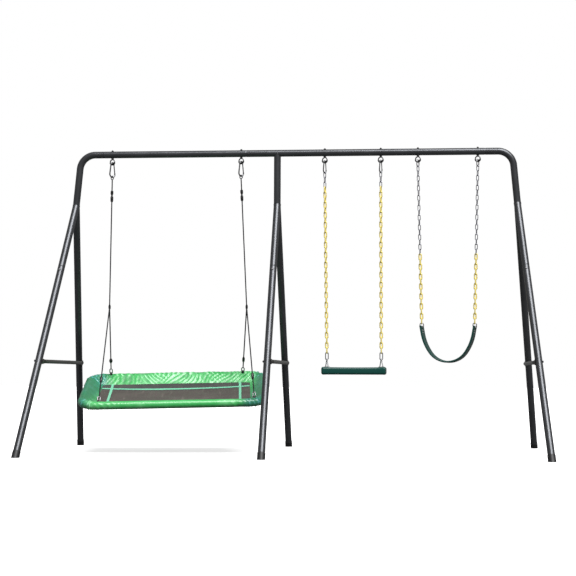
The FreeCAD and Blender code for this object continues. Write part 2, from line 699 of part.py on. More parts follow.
class Hook:
    """Pear-shaped carabiner in its own XZ plane, hung with the eye's wire at the origin."""

    STUB = 3.4  # straight wire above the low bow
    PIN_RISE = 8  # pin above the low bow
    NOSE = 6  # straight wire below the high bow
    GATE_GAP = 6.6  # gate's end to the high bow
    TONGUE_WIDTH, TONGUE_FALL = 7, 5.6
    SLOT_WIDTH, SLOT_FALL, SLOT_HEIGHT, SLOT_PLAY = 12, 6, 10.7, 0.5
    PIN_SHORT = 0.3  # pin's end inside the gate's side

    def __init__(self, kind):
        names = ("wire", "narrow", "wide", "length")
        self.wire, narrow, wide, length = (size[f"{kind}_{name}"] for name in names)
        self.kind = kind
        top = size["bushing"] + size["eye_clear"] + self.wire
        self.low = top - length
        high_centre, low_centre = Vector(0, 0, top - narrow), Vector(0, 0, self.low + wide)
        self.slope = math.degrees(math.asin((wide - narrow) / (high_centre.z - low_centre.z)))
        tip = math.radians(self.slope)
        side = Vector(math.cos(tip), 0, math.sin(tip))
        other = Vector(-side.x, 0, side.z)
        self.up = Vector(-side.z, 0, side.x)
        self.high, self.foot = high_centre + side * narrow, low_centre + side * wide
        self.pin = self.foot + self.up * self.PIN_RISE
        self.gate_length = (self.high - self.pin).Length - self.GATE_GAP
        nose = self.high - self.up * self.NOSE
        self.edges = [
            line(self.foot + self.up * self.STUB, self.foot),
            arc(low_centre, wide, self.slope, -180 - self.slope),
            line(low_centre + other * wide, high_centre + other * narrow),
            arc(high_centre, narrow, 180 - self.slope, self.slope),
            line(self.high, nose),
        ]

    def pin_place(self):
        return Placement(self.pin, Rotation(Y, -self.slope))

    def body(self, where):
        """Bent wire with a tongue for the gate."""
        place = self.pin_place()
        across = place.multiply(turned(X, 90))
        thick, below = size["tongue"], shift(0, 0, -self.TONGUE_FALL)
        tongue = block(self.TONGUE_WIDTH, thick, self.TONGUE_FALL, place.multiply(below))
        disc = cylinder("tongue_radius", "tongue", across.multiply(shift(0, 0, -thick / 2)))
        bore = cylinder("gate_pin + 0.1", "tongue * 4", across.multiply(shift(0, 0, -2 * thick)))
        whole = cut(fuse(rod(self.edges, self.kind + "_wire"), tongue, disc), bore)
        whole.Placement = where
        return whole

    def gate(self, where):
        """Sprung gate that turns inwards on its pin."""
        radius = f"{self.kind}_wire - gate_thin"
        bar = cylinder(radius, "1")
        bar.setExpression("Height", None)
        bar.Height = self.gate_length
        knuckle = primitive("Sphere", Radius=radius)
        slot_depth = size["tongue"] + self.SLOT_PLAY
        slot = block(self.SLOT_WIDTH, slot_depth, self.SLOT_HEIGHT, shift(0, 0, -self.SLOT_FALL))
        half = self.wire - size["gate_thin"] - self.PIN_SHORT
        pin = cylinder("gate_pin", f"2 * ({radius} - {self.PIN_SHORT})")
        pin.Placement = turned(X, 90).multiply(shift(0, 0, -half))
        whole = fuse(cut(fuse(bar, knuckle), slot), pin)
        whole.Placement = where.multiply(self.pin_place())
        return whole

    def hinge(self, where):
        """Pin position and the axis about which the gate opens."""
        return where.multVec(self.pin), where.Rotation.multVec(Vector(0, -1, 0))


def hook_place(x, turn):
    return shift(x, 0, PIVOT_Z).multiply(turned(Z, 90 - turn))


def stadium(bow, length):
    """Long link along +Z from its top bow, in the XZ plane."""
    half, high = length / 2, length - bow
    return [
        line(Vector(bow, 0, half), Vector(bow, 0, high)),
        arc(Vector(0, 0, high), bow, 0, 180),
        line(Vector(-bow, 0, high), Vector(-bow, 0, bow)),
        arc(Vector(0, 0, bow), bow, 180, 360),
        line(Vector(bow, 0, bow), Vector(bow, 0, half)),
    ]


def chain(swing, side, start, end, first_turn):
    """Links along a line, each a quarter turn from the last, easing out the first link's turn."""
    pitch, count = size[swing + "_pitch"], int(size[swing + "_count"])
    length = pitch + 2 * size["link_wire"] + size["link_play"]
    link = rod(stadium(size["link_bow"], length), "link_wire")
    label = f"{swing}_chain_{side}"
    doc.recompute()
    places = []
    for index in range(count):
        turn = first_turn * (1 - index / (count - 1)) + 90 * index
        places.append(aim(start, end, turn).multiply(shift(0, 0, index * pitch)))
    item = doc.addObject("Part::Feature", label)
    item.Shape = copies(link.Shape, places)
    node(item, label)
    return start + (end - start).normalize() * ((count - 1) * pitch + length)


# ---------------------------------------------------------------- platform swing

YAW, TILT, ROLL = (size["platform_" + name] for name in ("yaw", "tilt", "roll"))
PLATFORM = Placement(
    Vector(size["platform_x"], 0, size["platform_z"]),
    Rotation(Z, YAW) * Rotation(X, TILT) * Rotation(Y, ROLL),
)
RIM_X = size["platform_length"] / 2 - size["rim"]
RIM_Y = size["platform_depth"] / 2 - size["rim"]


def quarter(x, y, first):
    """Rounded corner of the rim's centre line."""
    radius = size["rim_corner"]
    circle = Part.Circle(Vector(x, y, 0), Z, radius)
    return Part.ArcOfCircle(circle, math.radians(first), math.radians(first + 90)).toShape()


def half_rim(gap):
    """Right half of the rim's centre line, from the middle of the front to the middle of the rear."""
    x, y = RIM_X - size["rim_corner"], RIM_Y - size["rim_corner"]
    return [
        line(Vector(gap, -RIM_Y, 0), Vector(x, -RIM_Y, 0)),
        quarter(x, -y, -90),
        line(Vector(RIM_X, -y, 0), Vector(RIM_X, y, 0)),
        quarter(x, y, 0),
        line(Vector(x, RIM_Y, 0), Vector(gap, RIM_Y, 0)),
    ]


def whole_rim():
    other = [edge.copy() for edge in half_rim(0)]
    for edge in other:
        edge.rotate(Vector(), Z, 180)
    return half_rim(0) + other


def rim_edge(along):
    """A point on the rim's centre line, from its distance along the platform; the front is at -Y of it."""
    straight = RIM_X - size["rim_corner"]
    past = max(abs(along) - straight, 0)
    corner = size["rim_corner"] - math.sqrt(size["rim_corner"] ** 2 - past**2)
    return Vector(along, RIM_Y - corner, 0)


def pad_section(radius):
    """Section of the rim cover where the rim starts: a round back, drawn out inwards to an edge."""
    start = Vector(0, -RIM_Y, 0)
    edge = Vector(0, size["rim_reach"], -size["rim_fall"]) * (radius / size["rim"])
    spread = math.acos(radius / edge.Length)
    inward = math.atan2(edge.z, edge.y)

    def on(angle):
        return start + Vector(0, math.cos(angle), math.sin(angle)) * radius

    upper, back, lower = on(inward + spread), on(inward + math.pi), on(inward - spread)
    outline = [line(start + edge, upper), Part.Arc(upper, back, lower).toShape(), line(lower, start + edge)]
    item = doc.addObject("Part::Feature", "PadSection")
    item.Shape = Part.Wire(outline)
    return item


def rim_foam():
    """Round padding between the rim tubes and the cover."""
    outside = rod(whole_rim(), "rim - rim_skin - foam_play")
    node(cut(outside, rod(whole_rim(), "rim_tube + foam_play")), "rim_foam", PLATFORM)


def rim_cover():
    """Sleeve over the padding, with its two layers joined along the mat."""
    outside = sweep(pad_section(size["rim"]), whole_rim())
    inside = sweep(pad_section(size["rim"] - size["rim_skin"]), whole_rim())
    node(cut(outside, inside), "rim_cover", PLATFORM)


def rim_tubes():
    """Two bent steel tubes that meet in the middle of the long sides."""
    for label, facing in (("rim_tube_left", 180), ("rim_tube_right", 0)):
        tube = cut(rod(half_rim(0.5), "rim_tube"), rod(half_rim(0.5), "rim_tube - rim_tube_wall"))
        node(tube, label, PLATFORM.multiply(turned(Z, facing)))


def mat():
    """Space of the sagging mat, and the webbing sewn on it."""
    drop = size["mat_drop"]
    edge = size["rim_reach"] + size["mat_gap"]
    long, deep = 2 * (RIM_X - edge), 2 * (RIM_Y - edge)
    slab = block(long, deep, size["mat_depth"], shift(0, 0, -drop - size["mat_depth"]))
    doc.recompute()
    rounded = doc.addObject("Part::Fillet", "Rounded")
    rounded.Base = slab
    upright = [
        number
        for number, item in enumerate(slab.Shape.Edges, 1)
        if abs(item.tangentAt(item.FirstParameter).z) > 0.9
    ]
    radius = size["rim_corner"] - edge
    rounded.Edges = [(number, radius, radius) for number in upright]
    node(rounded, "jump_mat", PLATFORM)
    width, thick, lift = size["strap_width"], size["strap_thick"], shift(0, 0, 0.1 - drop)
    strips = []
    for sign in (-1, 1):
        across = lift.multiply(shift(sign * size["strap_x"], 0, 0))
        strips.append(block(size["cross_width"], deep - 2 * width, thick, across))
        lengthwise = lift.multiply(shift(0, sign * size["strap_y"], 0))
        strips.append(block(long - 2 * width, width, thick, lengthwise))
    node(fuse(*strips), "webbing_straps", PLATFORM)


def rope(label, start, end):
    """Rope pulled straight between two points."""
    length = (end - start).Length
    item = cylinder("rope", "1", aim(start, end))
    item.setExpression("Height", None)
    item.Height = length
    return node(item, label)


def sleeve_on_rope(start, end, middle, length, radius):
    """Adjuster that the rope runs through, its middle at a share of the rope's length."""
    direction = (end - start).normalize()
    base = start + (end - start) * size[middle] - direction * (size[length] / 2)
    where = aim(base, base + direction)
    bore = cylinder("rope + 0.15", length + " * 1.2", where.multiply(shift(0, 0, -size[length] / 10)))
    return cut(cylinder(radius, length, where), bore)


def platform_swing():
    hook = Hook("big")
    hooks, thimbles, adjusters, knots, links = [], [], [], [], []
    for side in ("left", "right"):
        place = hook_place(HANGERS["platform_" + side], size["big_turn"])
        hooks.append(hook.body(place))
        gate = "platform_gate_" + side
        node(group([hook.gate(place)]), gate)
        GATES[gate] = hook.hinge(place)
        ring = size["thimble_ring"]
        centre = hook.low + hook.wire + 0.3 - (ring - size["thimble_wire"])
        thimble = primitive("Torus", None, Radius1="thimble_ring", Radius2="thimble_wire")
        thimble.Placement = place.multiply(shift(0, 0, centre)).multiply(turned(Y, 90))
        thimbles.append(thimble)
        top = place.multVec(Vector(0, 0, centre - ring - size["thimble_wire"] - size["rope_gap"]))
        fork = Vector(size["fork_" + side], 0, size["fork_height"])
        down = (fork - top).normalize()
        reach = size["knot"] + size["rope_gap"]
        upper_end = fork - down * reach
        rope("hanger_rope_" + side, top, upper_end)
        adjusters.append(sleeve_on_rope(top, upper_end, "upper_adjuster_at", "upper_adjuster", "adjuster"))
        knots.append(primitive("Sphere", Placement(fork, Rotation()), Radius="knot"))
        for end in ("front", "rear"):
            edge = rim_edge(size[f"{end}_{side}_link"])
            if end == "front":
                edge.y = -edge.y
            rim_point = PLATFORM.multVec(edge)
            pull = (fork - rim_point).normalize()
            low = rim_point + pull * (size["rim"] + size["eye_clear"] + size["rim_link_wire"])
            link = rod(stadium(size["rim_link_bow"], size["rim_link_length"]), "rim_link_wire")
            link.Placement = aim(low, low + pull)
            links.append(link)
            start = fork - pull * reach
            link_top = size["rim_link_length"] + size["rim_link_wire"]
            finish = low + pull * (link_top + size["rope_gap"])
            rope(f"{end}_rope_{side}", start, finish)
            middle = end + "_adjuster_at"
            adjusters.append(sleeve_on_rope(start, finish, middle, "lower_adjuster", "adjuster"))
    node(group(hooks), "platform_carabiners")
    node(group(thimbles), "rope_thimbles")
    node(group(adjusters), "rope_adjusters")
    node(group(knots), "fork_knots")
    node(group(links), "rim_links")
    rim_tubes()
    rim_foam()
    rim_cover()
    mat()


# ---------------------------------------------------------------- bench swing

GATES = {}
SEAT_JOINTS = {}


def bail(x, apex_z, seat_top):
    """Wire yoke from a link to two plates on the seat."""
    bow, wire, spread = (size["bail_" + name] for name in ("bow", "wire", "spread"))
    high = Vector(0, 0, apex_z - bow)
    foot = Vector(spread, 0, seat_top + wire + 1.2)
    reach = foot - high
    start = math.degrees(math.acos(bow / reach.Length) + math.atan2(reach.z, reach.x))
    side = Vector(math.cos(math.radians(start)), 0, math.sin(math.radians(start))) * bow
    other = Vector(-side.x, 0, side.z)
    edges = [
        line(foot, high + side),
        arc(high, bow, start, 180 - start),
        line(high + other, Vector(-foot.x, 0, foot.z)),
    ]
    spots = [shift(sign * (spread + 2), 0, seat_top + 0.3) for sign in (-1, 1)]
    plates = [cylinder("bail_plate", "bail_wire", spot) for spot in spots]
    whole = fuse(rod(edges, "bail_wire"), *plates)
    whole.Placement = shift(x, 0, 0).multiply(turned(Z, 90 + size["bail_turn"]))
    return whole


def bench_swing():
    hook = Hook("small")
    hooks, ovals, bails = [], [], []
    seat_top = size["rail_height"] - size["bench_drop"]
    middle = size["bench_x"] + size["bench_shift"]
    for side, sign in (("left", -1), ("right", 1)):
        x = HANGERS["bench_" + side]
        place = hook_place(x, size["small_turn"])
        hooks.append(hook.body(place))
        gate = "bench_gate_" + side
        node(group([hook.gate(place)]), gate)
        GATES[gate] = hook.hinge(place)
        start = Vector(x, 0, PIVOT_Z + hook.low + hook.wire + size["link_play"] + size["link_wire"])
        bottom_x = middle + sign * size["bench_bottom"]
        end = Vector(bottom_x, 0, seat_top + size["bench_chain_end"])
        last = chain("bench", side, start, end, size["small_turn"])
        wire, play = size["bail_wire"], size["link_play"]
        top = last.z + size["link_wire"] + play + wire
        oval_low = top - size["oval_length"]
        oval = rod(stadium(size["oval_bow"], size["oval_length"]), "bail_wire")
        oval.Placement = shift(last.x, 0, oval_low).multiply(turned(Z, size["bail_turn"]))
        ovals.append(oval)
        apex_z = oval_low + 2 * wire + play
        SEAT_JOINTS["bench"] = Vector(middle, 0, oval_low)
        bails.append(bail(last.x, apex_z, seat_top))
    node(group(hooks), "bench_carabiners")
    node(group(ovals), "bench_links")
    node(group(bails), "bench_bails")
    board = block(size["bench_length"], size["bench_width"], size["bench_thick"], Placement())
    doc.recompute()
    seat = doc.addObject("Part::Fillet", "Rounded")
    seat.Base = board
    edge = size["bench_edge"]
    seat.Edges = [(number, edge, edge) for number in range(1, len(board.Shape.Edges) + 1)]
    node(seat, "bench_seat", shift(middle, 0, seat_top - size["bench_thick"]))


# ---------------------------------------------------------------- belt swing


def belt_outline(end_z):
    """Section of the hanging belt: a bottom arc, two side arcs and two straight ends."""
    thick, low = size["belt_thick"], size["belt_low_z"]
    first, last = size["belt_low_angle"], size["belt_side_angle"]

    def side(offset):
        wide, tight = size["belt_low_radius"] - offset, size["belt_side_radius"] - offset
        centre = Vector(0, 0, low + size["belt_low_radius"])

        def on(middle, radius, angle):
            turn = math.radians(angle)
            return middle + Vector(math.sin(turn), 0, -math.cos(turn)) * radius

        knee = on(centre, wide, first)
        inner = knee - (on(Vector(), 1, first)) * tight
        shoulder = on(inner, tight, last)
        rise = (end_z - shoulder.z) / math.tan(math.radians(last))
        return [
            on(centre, wide, 0),
            on(centre, wide, first / 2),
            knee,
            on(inner, tight, (first + last) / 2),
            shoulder,
            Vector(shoulder.x + rise, 0, end_z),
        ]

    outer, inner = side(0), side(thick)
    halves = []
    for sign in (1, -1):
        for points in (outer, inner):
            low_point, low_middle, knee, middle, shoulder, tip = (Vector(sign * p.x, p.z, 0) for p in points)
            halves += [Part.Arc(low_point, low_middle, knee), Part.Arc(knee, middle, shoulder)]
            halves.append(Part.LineSegment(shoulder, tip))
        tips = [Vector(sign * points[-1].x, points[-1].z, 0) for points in (outer, inner)]
        halves.append(Part.LineSegment(*tips))
    return halves


def belt_swing():
    links, rings, grommets, bores = [], [], [], []
    for side, sign in (("left", -1), ("right", 1)):
        x = HANGERS["belt_" + side]
        wire = size["quick_wire"]
        top = PIVOT_Z + size["bushing"] + size["eye_clear"] + wire
        quick = rod(stadium(size["quick_bow"], size["quick_length"]), "quick_wire")
        low = top - size["quick_length"]
        quick.Placement = shift(x, 0, low).multiply(turned(Z, 90 - size["quick_turn"]))
        links.append(quick)
        start = Vector(x, 0, low + wire + size["link_play"] + size["link_wire"])
        bottom_x = size["belt_x"] + sign * size["belt_bottom"]
        end = Vector(bottom_x, 0, size["belt_chain_end"])
        last = chain("belt", side, start, end, size["quick_turn"])
        ring_top = last.z + size["link_wire"] + size["link_play"] + size["ring_wire"]
        ring_low = ring_top - size["ring_length"]
        ring = rod(stadium(size["ring_bow"], size["ring_length"]), "ring_wire")
        ring.Placement = shift(last.x, 0, ring_low)
        rings.append(ring)
        SEAT_JOINTS["belt"] = Vector(size["belt_x"], 0, ring_top)
        hole = Vector(last.x, 0, ring_low + size["grommet_lift"])
        tilt = sign * (90 - size["belt_side_angle"])
        across = Placement(hole, Rotation()).multiply(turned(Y, 90 + tilt))
        thick = size["belt_thick"]
        lip = across.multiply(shift(0, 0, -thick / 2 - size["grommet_lip"]))
        outside = cylinder("grommet", "belt_thick + 2 * grommet_lip", lip)
        inside = cylinder("grommet - grommet_wall", "belt_thick * 3")
        inside.Placement = across.multiply(shift(0, 0, -1.5 * thick))
        grommets.append(cut(outside, inside))
        bores.append(cylinder("grommet + 0.05", "belt_thick * 4", across.multiply(shift(0, 0, -2 * thick))))
    body = new_body("belt_strap")
    outline = new_sketch(body, "belt_section", "XZ_Plane")
    outline.addGeometry(belt_outline(ring_low + size["belt_end"]), False)
    tie(feature(body, "Pad", "belt_sheet", outline, SideType="Symmetric"), Length="belt_width")
    body.Placement = shift(size["belt_x"], 0, 0)
    node(group(links), "belt_quick_links")
    node(group(rings), "belt_rings")
    node(cut(cut(body, bores[0]), bores[1]), "belt_seat")
    node(group(grommets), "belt_grommets")


# ---------------------------------------------------------------- assembly

for side in ("left", "right"):
    elbow(side)
LEFT_BOLTS = [f"left_seam - rail_bolt_{name}" for name in ("first", "second")]
MIDDLE_BOLTS = [f"middle_seam + rail_bolt_{name}" for name in ("first", "second")]
RIGHT_BOLTS = [f"right_seam + rail_bolt_{name}" for name in ("first", "second")]
rail(
    "top_rail_left",
    "left_seam + swage_run",
    "middle_seam - swage_run",
    swage_start=True,
    swage_end=True,
    hangers=["platform_hang_left", "platform_hang_right"],
    bolts=LEFT_BOLTS + MIDDLE_BOLTS,
)
rail(
    "top_rail_right",
    "middle_seam",
    "right_seam - swage_run",
    swage_start=False,
    swage_end=True,
    hangers=[f"{swing}_x {sign} {swing}_top" for swing in ("bench", "belt") for sign in "-+"],
    bolts=MIDDLE_BOLTS + RIGHT_BOLTS,
)
centre_stub()
CAPS = []
for side in AXES:
    for end in ("front", "rear"):
        legs(side, end)
        CAPS.append(leg_cap(side, end))
    brace(side)
node(group(CAPS), "leg_end_caps")
frame_bolts()
for label, make in (
    ("eye_bolts", eye_bolt),
    ("wear_bushings", wear_bushing),
    ("eye_spacers", eye_spacer),
    ("eye_nuts", eye_nut),
):
    node(group([make(x) for x in HANGERS.values()]), label)
platform_swing()
bench_swing()
belt_swing()

doc.recompute()
for item in doc.Objects:
    if {"Invalid", "Error"} & set(item.State):
        raise RuntimeError(f"{item.Name} failed: {item.State}")
for item in NODES:
    if item.Shape.isNull() or not item.Shape.isValid():
        raise RuntimeError(f"{item.Label} has no valid shape")
    item.Shape.exportStep(f"parts/{item.Label}.step")
    print(f"{item.Label}: {len(item.Shape.Solids)} solids, {item.Shape.Volume / 1000:.1f} cm3")
print(len(NODES), "nodes, eye pivots at height", round(PIVOT_Z, 3))
for name, (pin, axis) in GATES.items():
    print(name, "pin", [round(value, 3) for value in pin], "axis", [round(value, 6) for value in axis])
for name, point in SEAT_JOINTS.items():
    print(name, "seat pivot", [round(value, 3) for value in point])
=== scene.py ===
"""Looks of the swing set: finishes, ropes, chains, padded rim, mat, seats and the studio."""

import math

import bmesh
import bpy
import numpy as np
from bpy.props import FloatProperty, FloatVectorProperty, PointerProperty
from mathutils import Matrix, Vector, noise


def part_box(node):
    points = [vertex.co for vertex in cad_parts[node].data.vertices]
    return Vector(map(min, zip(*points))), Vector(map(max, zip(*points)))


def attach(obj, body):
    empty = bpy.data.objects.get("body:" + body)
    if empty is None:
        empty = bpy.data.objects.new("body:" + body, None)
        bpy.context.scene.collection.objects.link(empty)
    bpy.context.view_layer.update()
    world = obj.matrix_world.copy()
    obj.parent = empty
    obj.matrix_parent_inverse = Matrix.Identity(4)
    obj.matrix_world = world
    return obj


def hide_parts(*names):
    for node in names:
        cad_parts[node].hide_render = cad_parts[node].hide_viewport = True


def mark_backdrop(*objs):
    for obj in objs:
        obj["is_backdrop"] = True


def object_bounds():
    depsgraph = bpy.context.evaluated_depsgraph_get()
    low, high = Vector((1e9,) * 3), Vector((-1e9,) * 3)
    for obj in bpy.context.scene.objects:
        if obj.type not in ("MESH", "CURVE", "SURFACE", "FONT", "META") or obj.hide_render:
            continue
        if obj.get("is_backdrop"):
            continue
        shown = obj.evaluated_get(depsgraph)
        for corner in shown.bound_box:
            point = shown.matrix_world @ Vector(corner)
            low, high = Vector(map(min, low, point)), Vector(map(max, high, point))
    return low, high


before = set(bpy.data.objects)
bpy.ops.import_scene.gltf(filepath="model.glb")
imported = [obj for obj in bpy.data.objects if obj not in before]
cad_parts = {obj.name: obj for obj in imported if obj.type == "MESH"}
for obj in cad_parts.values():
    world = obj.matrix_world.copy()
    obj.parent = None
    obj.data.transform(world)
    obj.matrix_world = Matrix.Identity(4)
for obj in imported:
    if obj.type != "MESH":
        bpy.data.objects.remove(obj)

bl_info = {
    "name": "Swing set",
    "version": (1, 0, 0),
    "blender": (4, 5, 0),
    "location": "View3D > Sidebar > Swing set",
    "description": "Builds the looks of a swing set round its packed frame",
    "category": "Add Mesh",
}

CAD_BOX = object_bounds()
FULL_TURN = 2 * math.pi
X_AXIS, Y_AXIS, Z_AXIS = Vector((1, 0, 0)), Vector((0, 1, 0)), Vector((0, 0, 1))
PLATFORM_X = -0.878
PLATFORM = (
    Matrix.Translation((PLATFORM_X, 0, 0.456))
    @ Matrix.Rotation(math.radians(8), 4, "Z")
    @ Matrix.Rotation(math.radians(14.5), 4, "X")
    @ Matrix.Rotation(math.radians(-1.3), 4, "Y")
)
# half sizes and corner radius of the rim's line, and how far its cover reaches in and down
RIM_X, RIM_Y, RIM_CORNER = 0.650, 0.395, 0.125
RIM_RADIUS, RIM_REACH, RIM_FALL = 0.030, 0.095, 0.032
# the mat's half sizes, corner, height under the rim's line and sag, and the straps on it
MAT_X, MAT_Y, MAT_CORNER, MAT_TOP, MAT_SAG = 0.561, 0.306, 0.034, -0.0315, 0.023
STRAP_X, STRAP_Y, STRAP_WIDTH, CROSS_WIDTH = 0.480, 0.190, 0.026, 0.018
# a link's bow, and how much longer than its pitch it is
LINK_BOW, LINK_SPARE = 0.0083, 0.0064
# the rings of the eye bolts
EYES = (-1.365, -0.395, 0.2265, 0.6395, 0.9125, 1.3495)
EYE_Z, EYE_RING, EYE_TURN = 2.1511, 0.0185, -20
SLEEVE_RADIUS, SLEEVE_START, SLEEVE_SWEEP = 0.0074, -170, 160


# ---------------------------------------------------------------- shader maths


class Value:
    """A shader socket that Python operators can work on."""

    def __init__(self, finish, socket):
        self.finish, self.socket = finish, socket

    def maths(self, operation, *others):
        return self.finish.node("Math", {"operation": operation}, dict(enumerate((self, *others))))

    def __add__(self, other):
        return self.maths("ADD", other)

    def __sub__(self, other):
        return self.maths("SUBTRACT", other)

    def __rsub__(self, other):
        return self.finish.node("Math", {"operation": "SUBTRACT"}, {0: other, 1: self})

    def __mul__(self, other):
        return self.maths("MULTIPLY", other)

    __radd__, __rmul__ = __add__, __mul__

    def clamped(self):
        return self.finish.node("Clamp", {}, {0: self})

    def step(self, low, high):
        """0 below low, 1 above high, smooth between them."""
        kind = {"interpolation_type": "SMOOTHSTEP"}
        return self.finish.node("MapRange", kind, {0: self, 1: low, 2: high})


class Finish:
    """A material and the means to build its nodes."""

    def __init__(self, name, colour, roughness=0.5, metallic=0.0, **constants):
        self.material = bpy.data.materials.new(name)
        self.material.use_nodes = True
        self.tree = self.material.node_tree
        self.shader = next(item for item in self.tree.nodes if item.type == "BSDF_PRINCIPLED")
        self.set("Base Color", (*colour, 1.0))
        self.set("Roughness", roughness)
        self.set("Metallic", metallic)
        for key, value in constants.items():
            self.set(key.replace("_", " ").title().replace("Ior", "IOR"), value)
        self.material.diffuse_color = (*colour, 1.0)

    def node(self, kind, settings, sockets, output=0):
        """Adds a shader node: its settings first, then its sockets by index or name."""
        item = self.tree.nodes.new("ShaderNode" + kind)
        for key, value in settings.items():
            if key == "stops":
                self.stops(item.color_ramp, value)
            else:
                setattr(item, key, value)
        for key, value in sockets.items():
            self.feed(item.inputs[key], value)
        return Value(self, item.outputs[output])

    def stops(self, ramp, stops):
        while len(ramp.elements) < len(stops):
            ramp.elements.new(1.0)
        for element, (place, colour) in zip(ramp.elements, stops):
            element.position, element.color = place, (*colour, 1.0)

    def feed(self, socket, value):
        if isinstance(value, Value):
            self.tree.links.new(value.socket, socket)
        else:
            socket.default_value = value

    def set(self, name, value):
        self.feed(self.shader.inputs[name], value)

    def surface(self, colour, roughness, normal):
        """Takes what changes over the surface, and gives the material."""
        self.set("Base Color", colour)
        self.set("Roughness", roughness)
        self.set("Normal", normal)
        return self.material

    def place(self, stretch=(1, 1, 1), output="Object", turn=(0, 0, 0), shift=(0, 0, 0)):
        """Object or UV coordinates, stretched and turned."""
        source = self.node("TexCoord", {}, {}, output)
        sockets = {"Vector": source, "Location": shift, "Rotation": turn, "Scale": stretch}
        return self.node("Mapping", {}, sockets)

    def noise(self, scale, detail=3.0, stretch=(1, 1, 1), output="Object"):
        where = self.place(stretch, output)
        sockets = {"Vector": where, "Scale": scale, "Detail": detail, "Roughness": 0.55}
        return self.node("TexNoise", {}, sockets)

    def waves(self, scale, direction, output="Object", **place):
        """Even ridges across one axis, scale of them to a metre."""
        settings = {"wave_type": "BANDS", "bands_direction": direction}
        sockets = {"Vector": self.place(output=output, **place), "Scale": scale * FULL_TURN / 20}
        return self.node("TexWave", settings, sockets, "Fac")

    def blend(self, factor, first, second):
        """One colour to another by a factor."""
        colours = {0: factor}
        for index, colour in ((6, first), (7, second)):
            colours[index] = colour if isinstance(colour, Value) else (*colour, 1.0)
        return self.node("Mix", {"data_type": "RGBA"}, colours, 2)

    def bump(self, height, distance, strength=1.0, under=None):
        sockets = {"Height": height, "Distance": distance, "Strength": strength}
        if under is not None:
            sockets["Normal"] = under
        return self.node("Bump", {}, sockets)


# ---------------------------------------------------------------- finishes


def shaded(colour, share):
    """A colour made darker or paler by a share."""
    return tuple(part * share for part in colour)


def powder_coat(name, colour, pale, metallic=0.72):
    coat = Finish(name, colour, 0.36, metallic, specular_ior_level=0.9)
    grain = coat.noise(1400, 2)
    cloud = coat.noise(5, 4)
    handled = coat.noise(38, 5).step(0.60, 0.78)
    colour = coat.blend(cloud.step(0.35, 0.7) * 0.5 + handled * 0.25, colour, pale)
    return coat.surface(colour, 0.30 + cloud * 0.10 + handled * 0.08, coat.bump(grain, 0.0001, 0.2))


def steel(name, colour, roughness=0.32, scratch=(1, 1, 12)):
    metal = Finish(name, colour, roughness, 1.0)
    lines = metal.noise(420, 3, scratch)
    dull = metal.noise(60, 4)
    darker = shaded(colour, 0.55)
    colour = metal.blend(dull.step(0.45, 0.75) * 0.6, colour, darker)
    bumps = metal.bump(lines, 0.00008, 0.4)
    return metal.surface(colour, roughness - 0.06 + lines * 0.14 + dull * 0.08, bumps)


def moulded(name, colour, roughness=0.45, grain=900, depth=0.00015, gloss=0.0, shine=0.5):
    plastic = Finish(
        name, colour, roughness, 0.0, coat_weight=gloss, coat_roughness=0.2, specular_ior_level=shine
    )
    fine = plastic.noise(grain, 2)
    scuff = plastic.noise(26, 6).step(0.58, 0.80)
    paler = tuple(part * 1.35 + 0.002 for part in colour)
    colour = plastic.blend(scuff * 0.5, colour, paler)
    bumps = plastic.bump(fine, depth, 0.6)
    return plastic.surface(colour, roughness - 0.05 + scuff * 0.14 + fine * 0.06, bumps)


def braided(name, colour):
    """Braided rope: two crossing spirals read from its own length and turn."""
    rope = Finish(name, colour, 0.78, 0.0, sheen_weight=0.05, specular_ior_level=0.3)
    one = rope.waves(230, "Z", turn=(0.0, 0.75, 0.0))
    two = rope.waves(230, "Z", turn=(0.0, -0.75, 0.0))
    braid = one.maths("MAXIMUM", two)
    fluff = rope.noise(1500, 2)
    # painted shade: darker in the grooves between the braid's strands
    colour = rope.blend(braid.step(0.2, 0.9), shaded(colour, 0.35), colour)
    return rope.surface(colour, 0.62 + fluff * 0.2, rope.bump(braid + fluff * 0.3, 0.0007, 0.9))


def coated_links(name, colour):
    """Soft dipped coating: glossy, a little uneven, with random darker patches."""
    coat = Finish(name, colour, 0.34, 0.0, coat_weight=0.25, coat_roughness=0.25)
    lumps = coat.noise(160, 3)
    # random darker patches of the coating
    darker_patches = coat.noise(45, 5).step(0.55, 0.8)
    colour = coat.blend(darker_patches * 0.3, colour, (0.62, 0.47, 0.07))
    return coat.surface(colour, 0.28 + darker_patches * 0.15 + lumps * 0.06, coat.bump(lumps, 0.0005, 0.5))


def vinyl(name, crest_highlight, middle, hollow):
    """Glossy padded sleeve. Its fold attribute says where the folds are and carries painted light: painted
    highlight on the crests, painted shade in the hollows and under the tube; its two ends get painted
    shade, darker and bluer.
    """
    skin = Finish(name, middle, 0.3, 0.0, coat_weight=0.8, coat_roughness=0.28)
    fold = skin.node("Attribute", {"attribute_name": "fold"}, {}, "Fac")
    # colours by the fold attribute: painted shade in hollows and under the tube, the vinyl between,
    # painted highlight on crests
    stops = [(0.0, hollow), (0.38, middle), (0.60, middle), (0.95, crest_highlight)]
    shade = skin.node("ValToRGB", {"stops": stops}, {0: fold})
    crease = skin.noise(70, 4, (1, 0.35, 1), "UV")
    fine = skin.noise(420, 3, output="UV")
    cloud = skin.noise(9, 3)
    # painted shade: the sleeve's two ends multiplied darker and bluer
    across = skin.node("SeparateXYZ", {}, {0: skin.place(shift=(-PLATFORM_X, 0, 0))})
    lit = skin.blend(cloud.step(0.35, 0.75) * 0.25, shade, crest_highlight)
    sockets = {0: across.maths("ABSOLUTE").step(0.50, 0.60), 6: lit, 7: (0.26, 0.48, 0.85, 1.0)}
    colour = skin.node("Mix", {"data_type": "RGBA", "blend_type": "MULTIPLY"}, sockets, 2)
    bumps = skin.bump(crease + fine * 0.15, 0.0020, 0.45)
    return skin.surface(colour, 0.30 + crease * 0.14 + fine * 0.05, bumps)


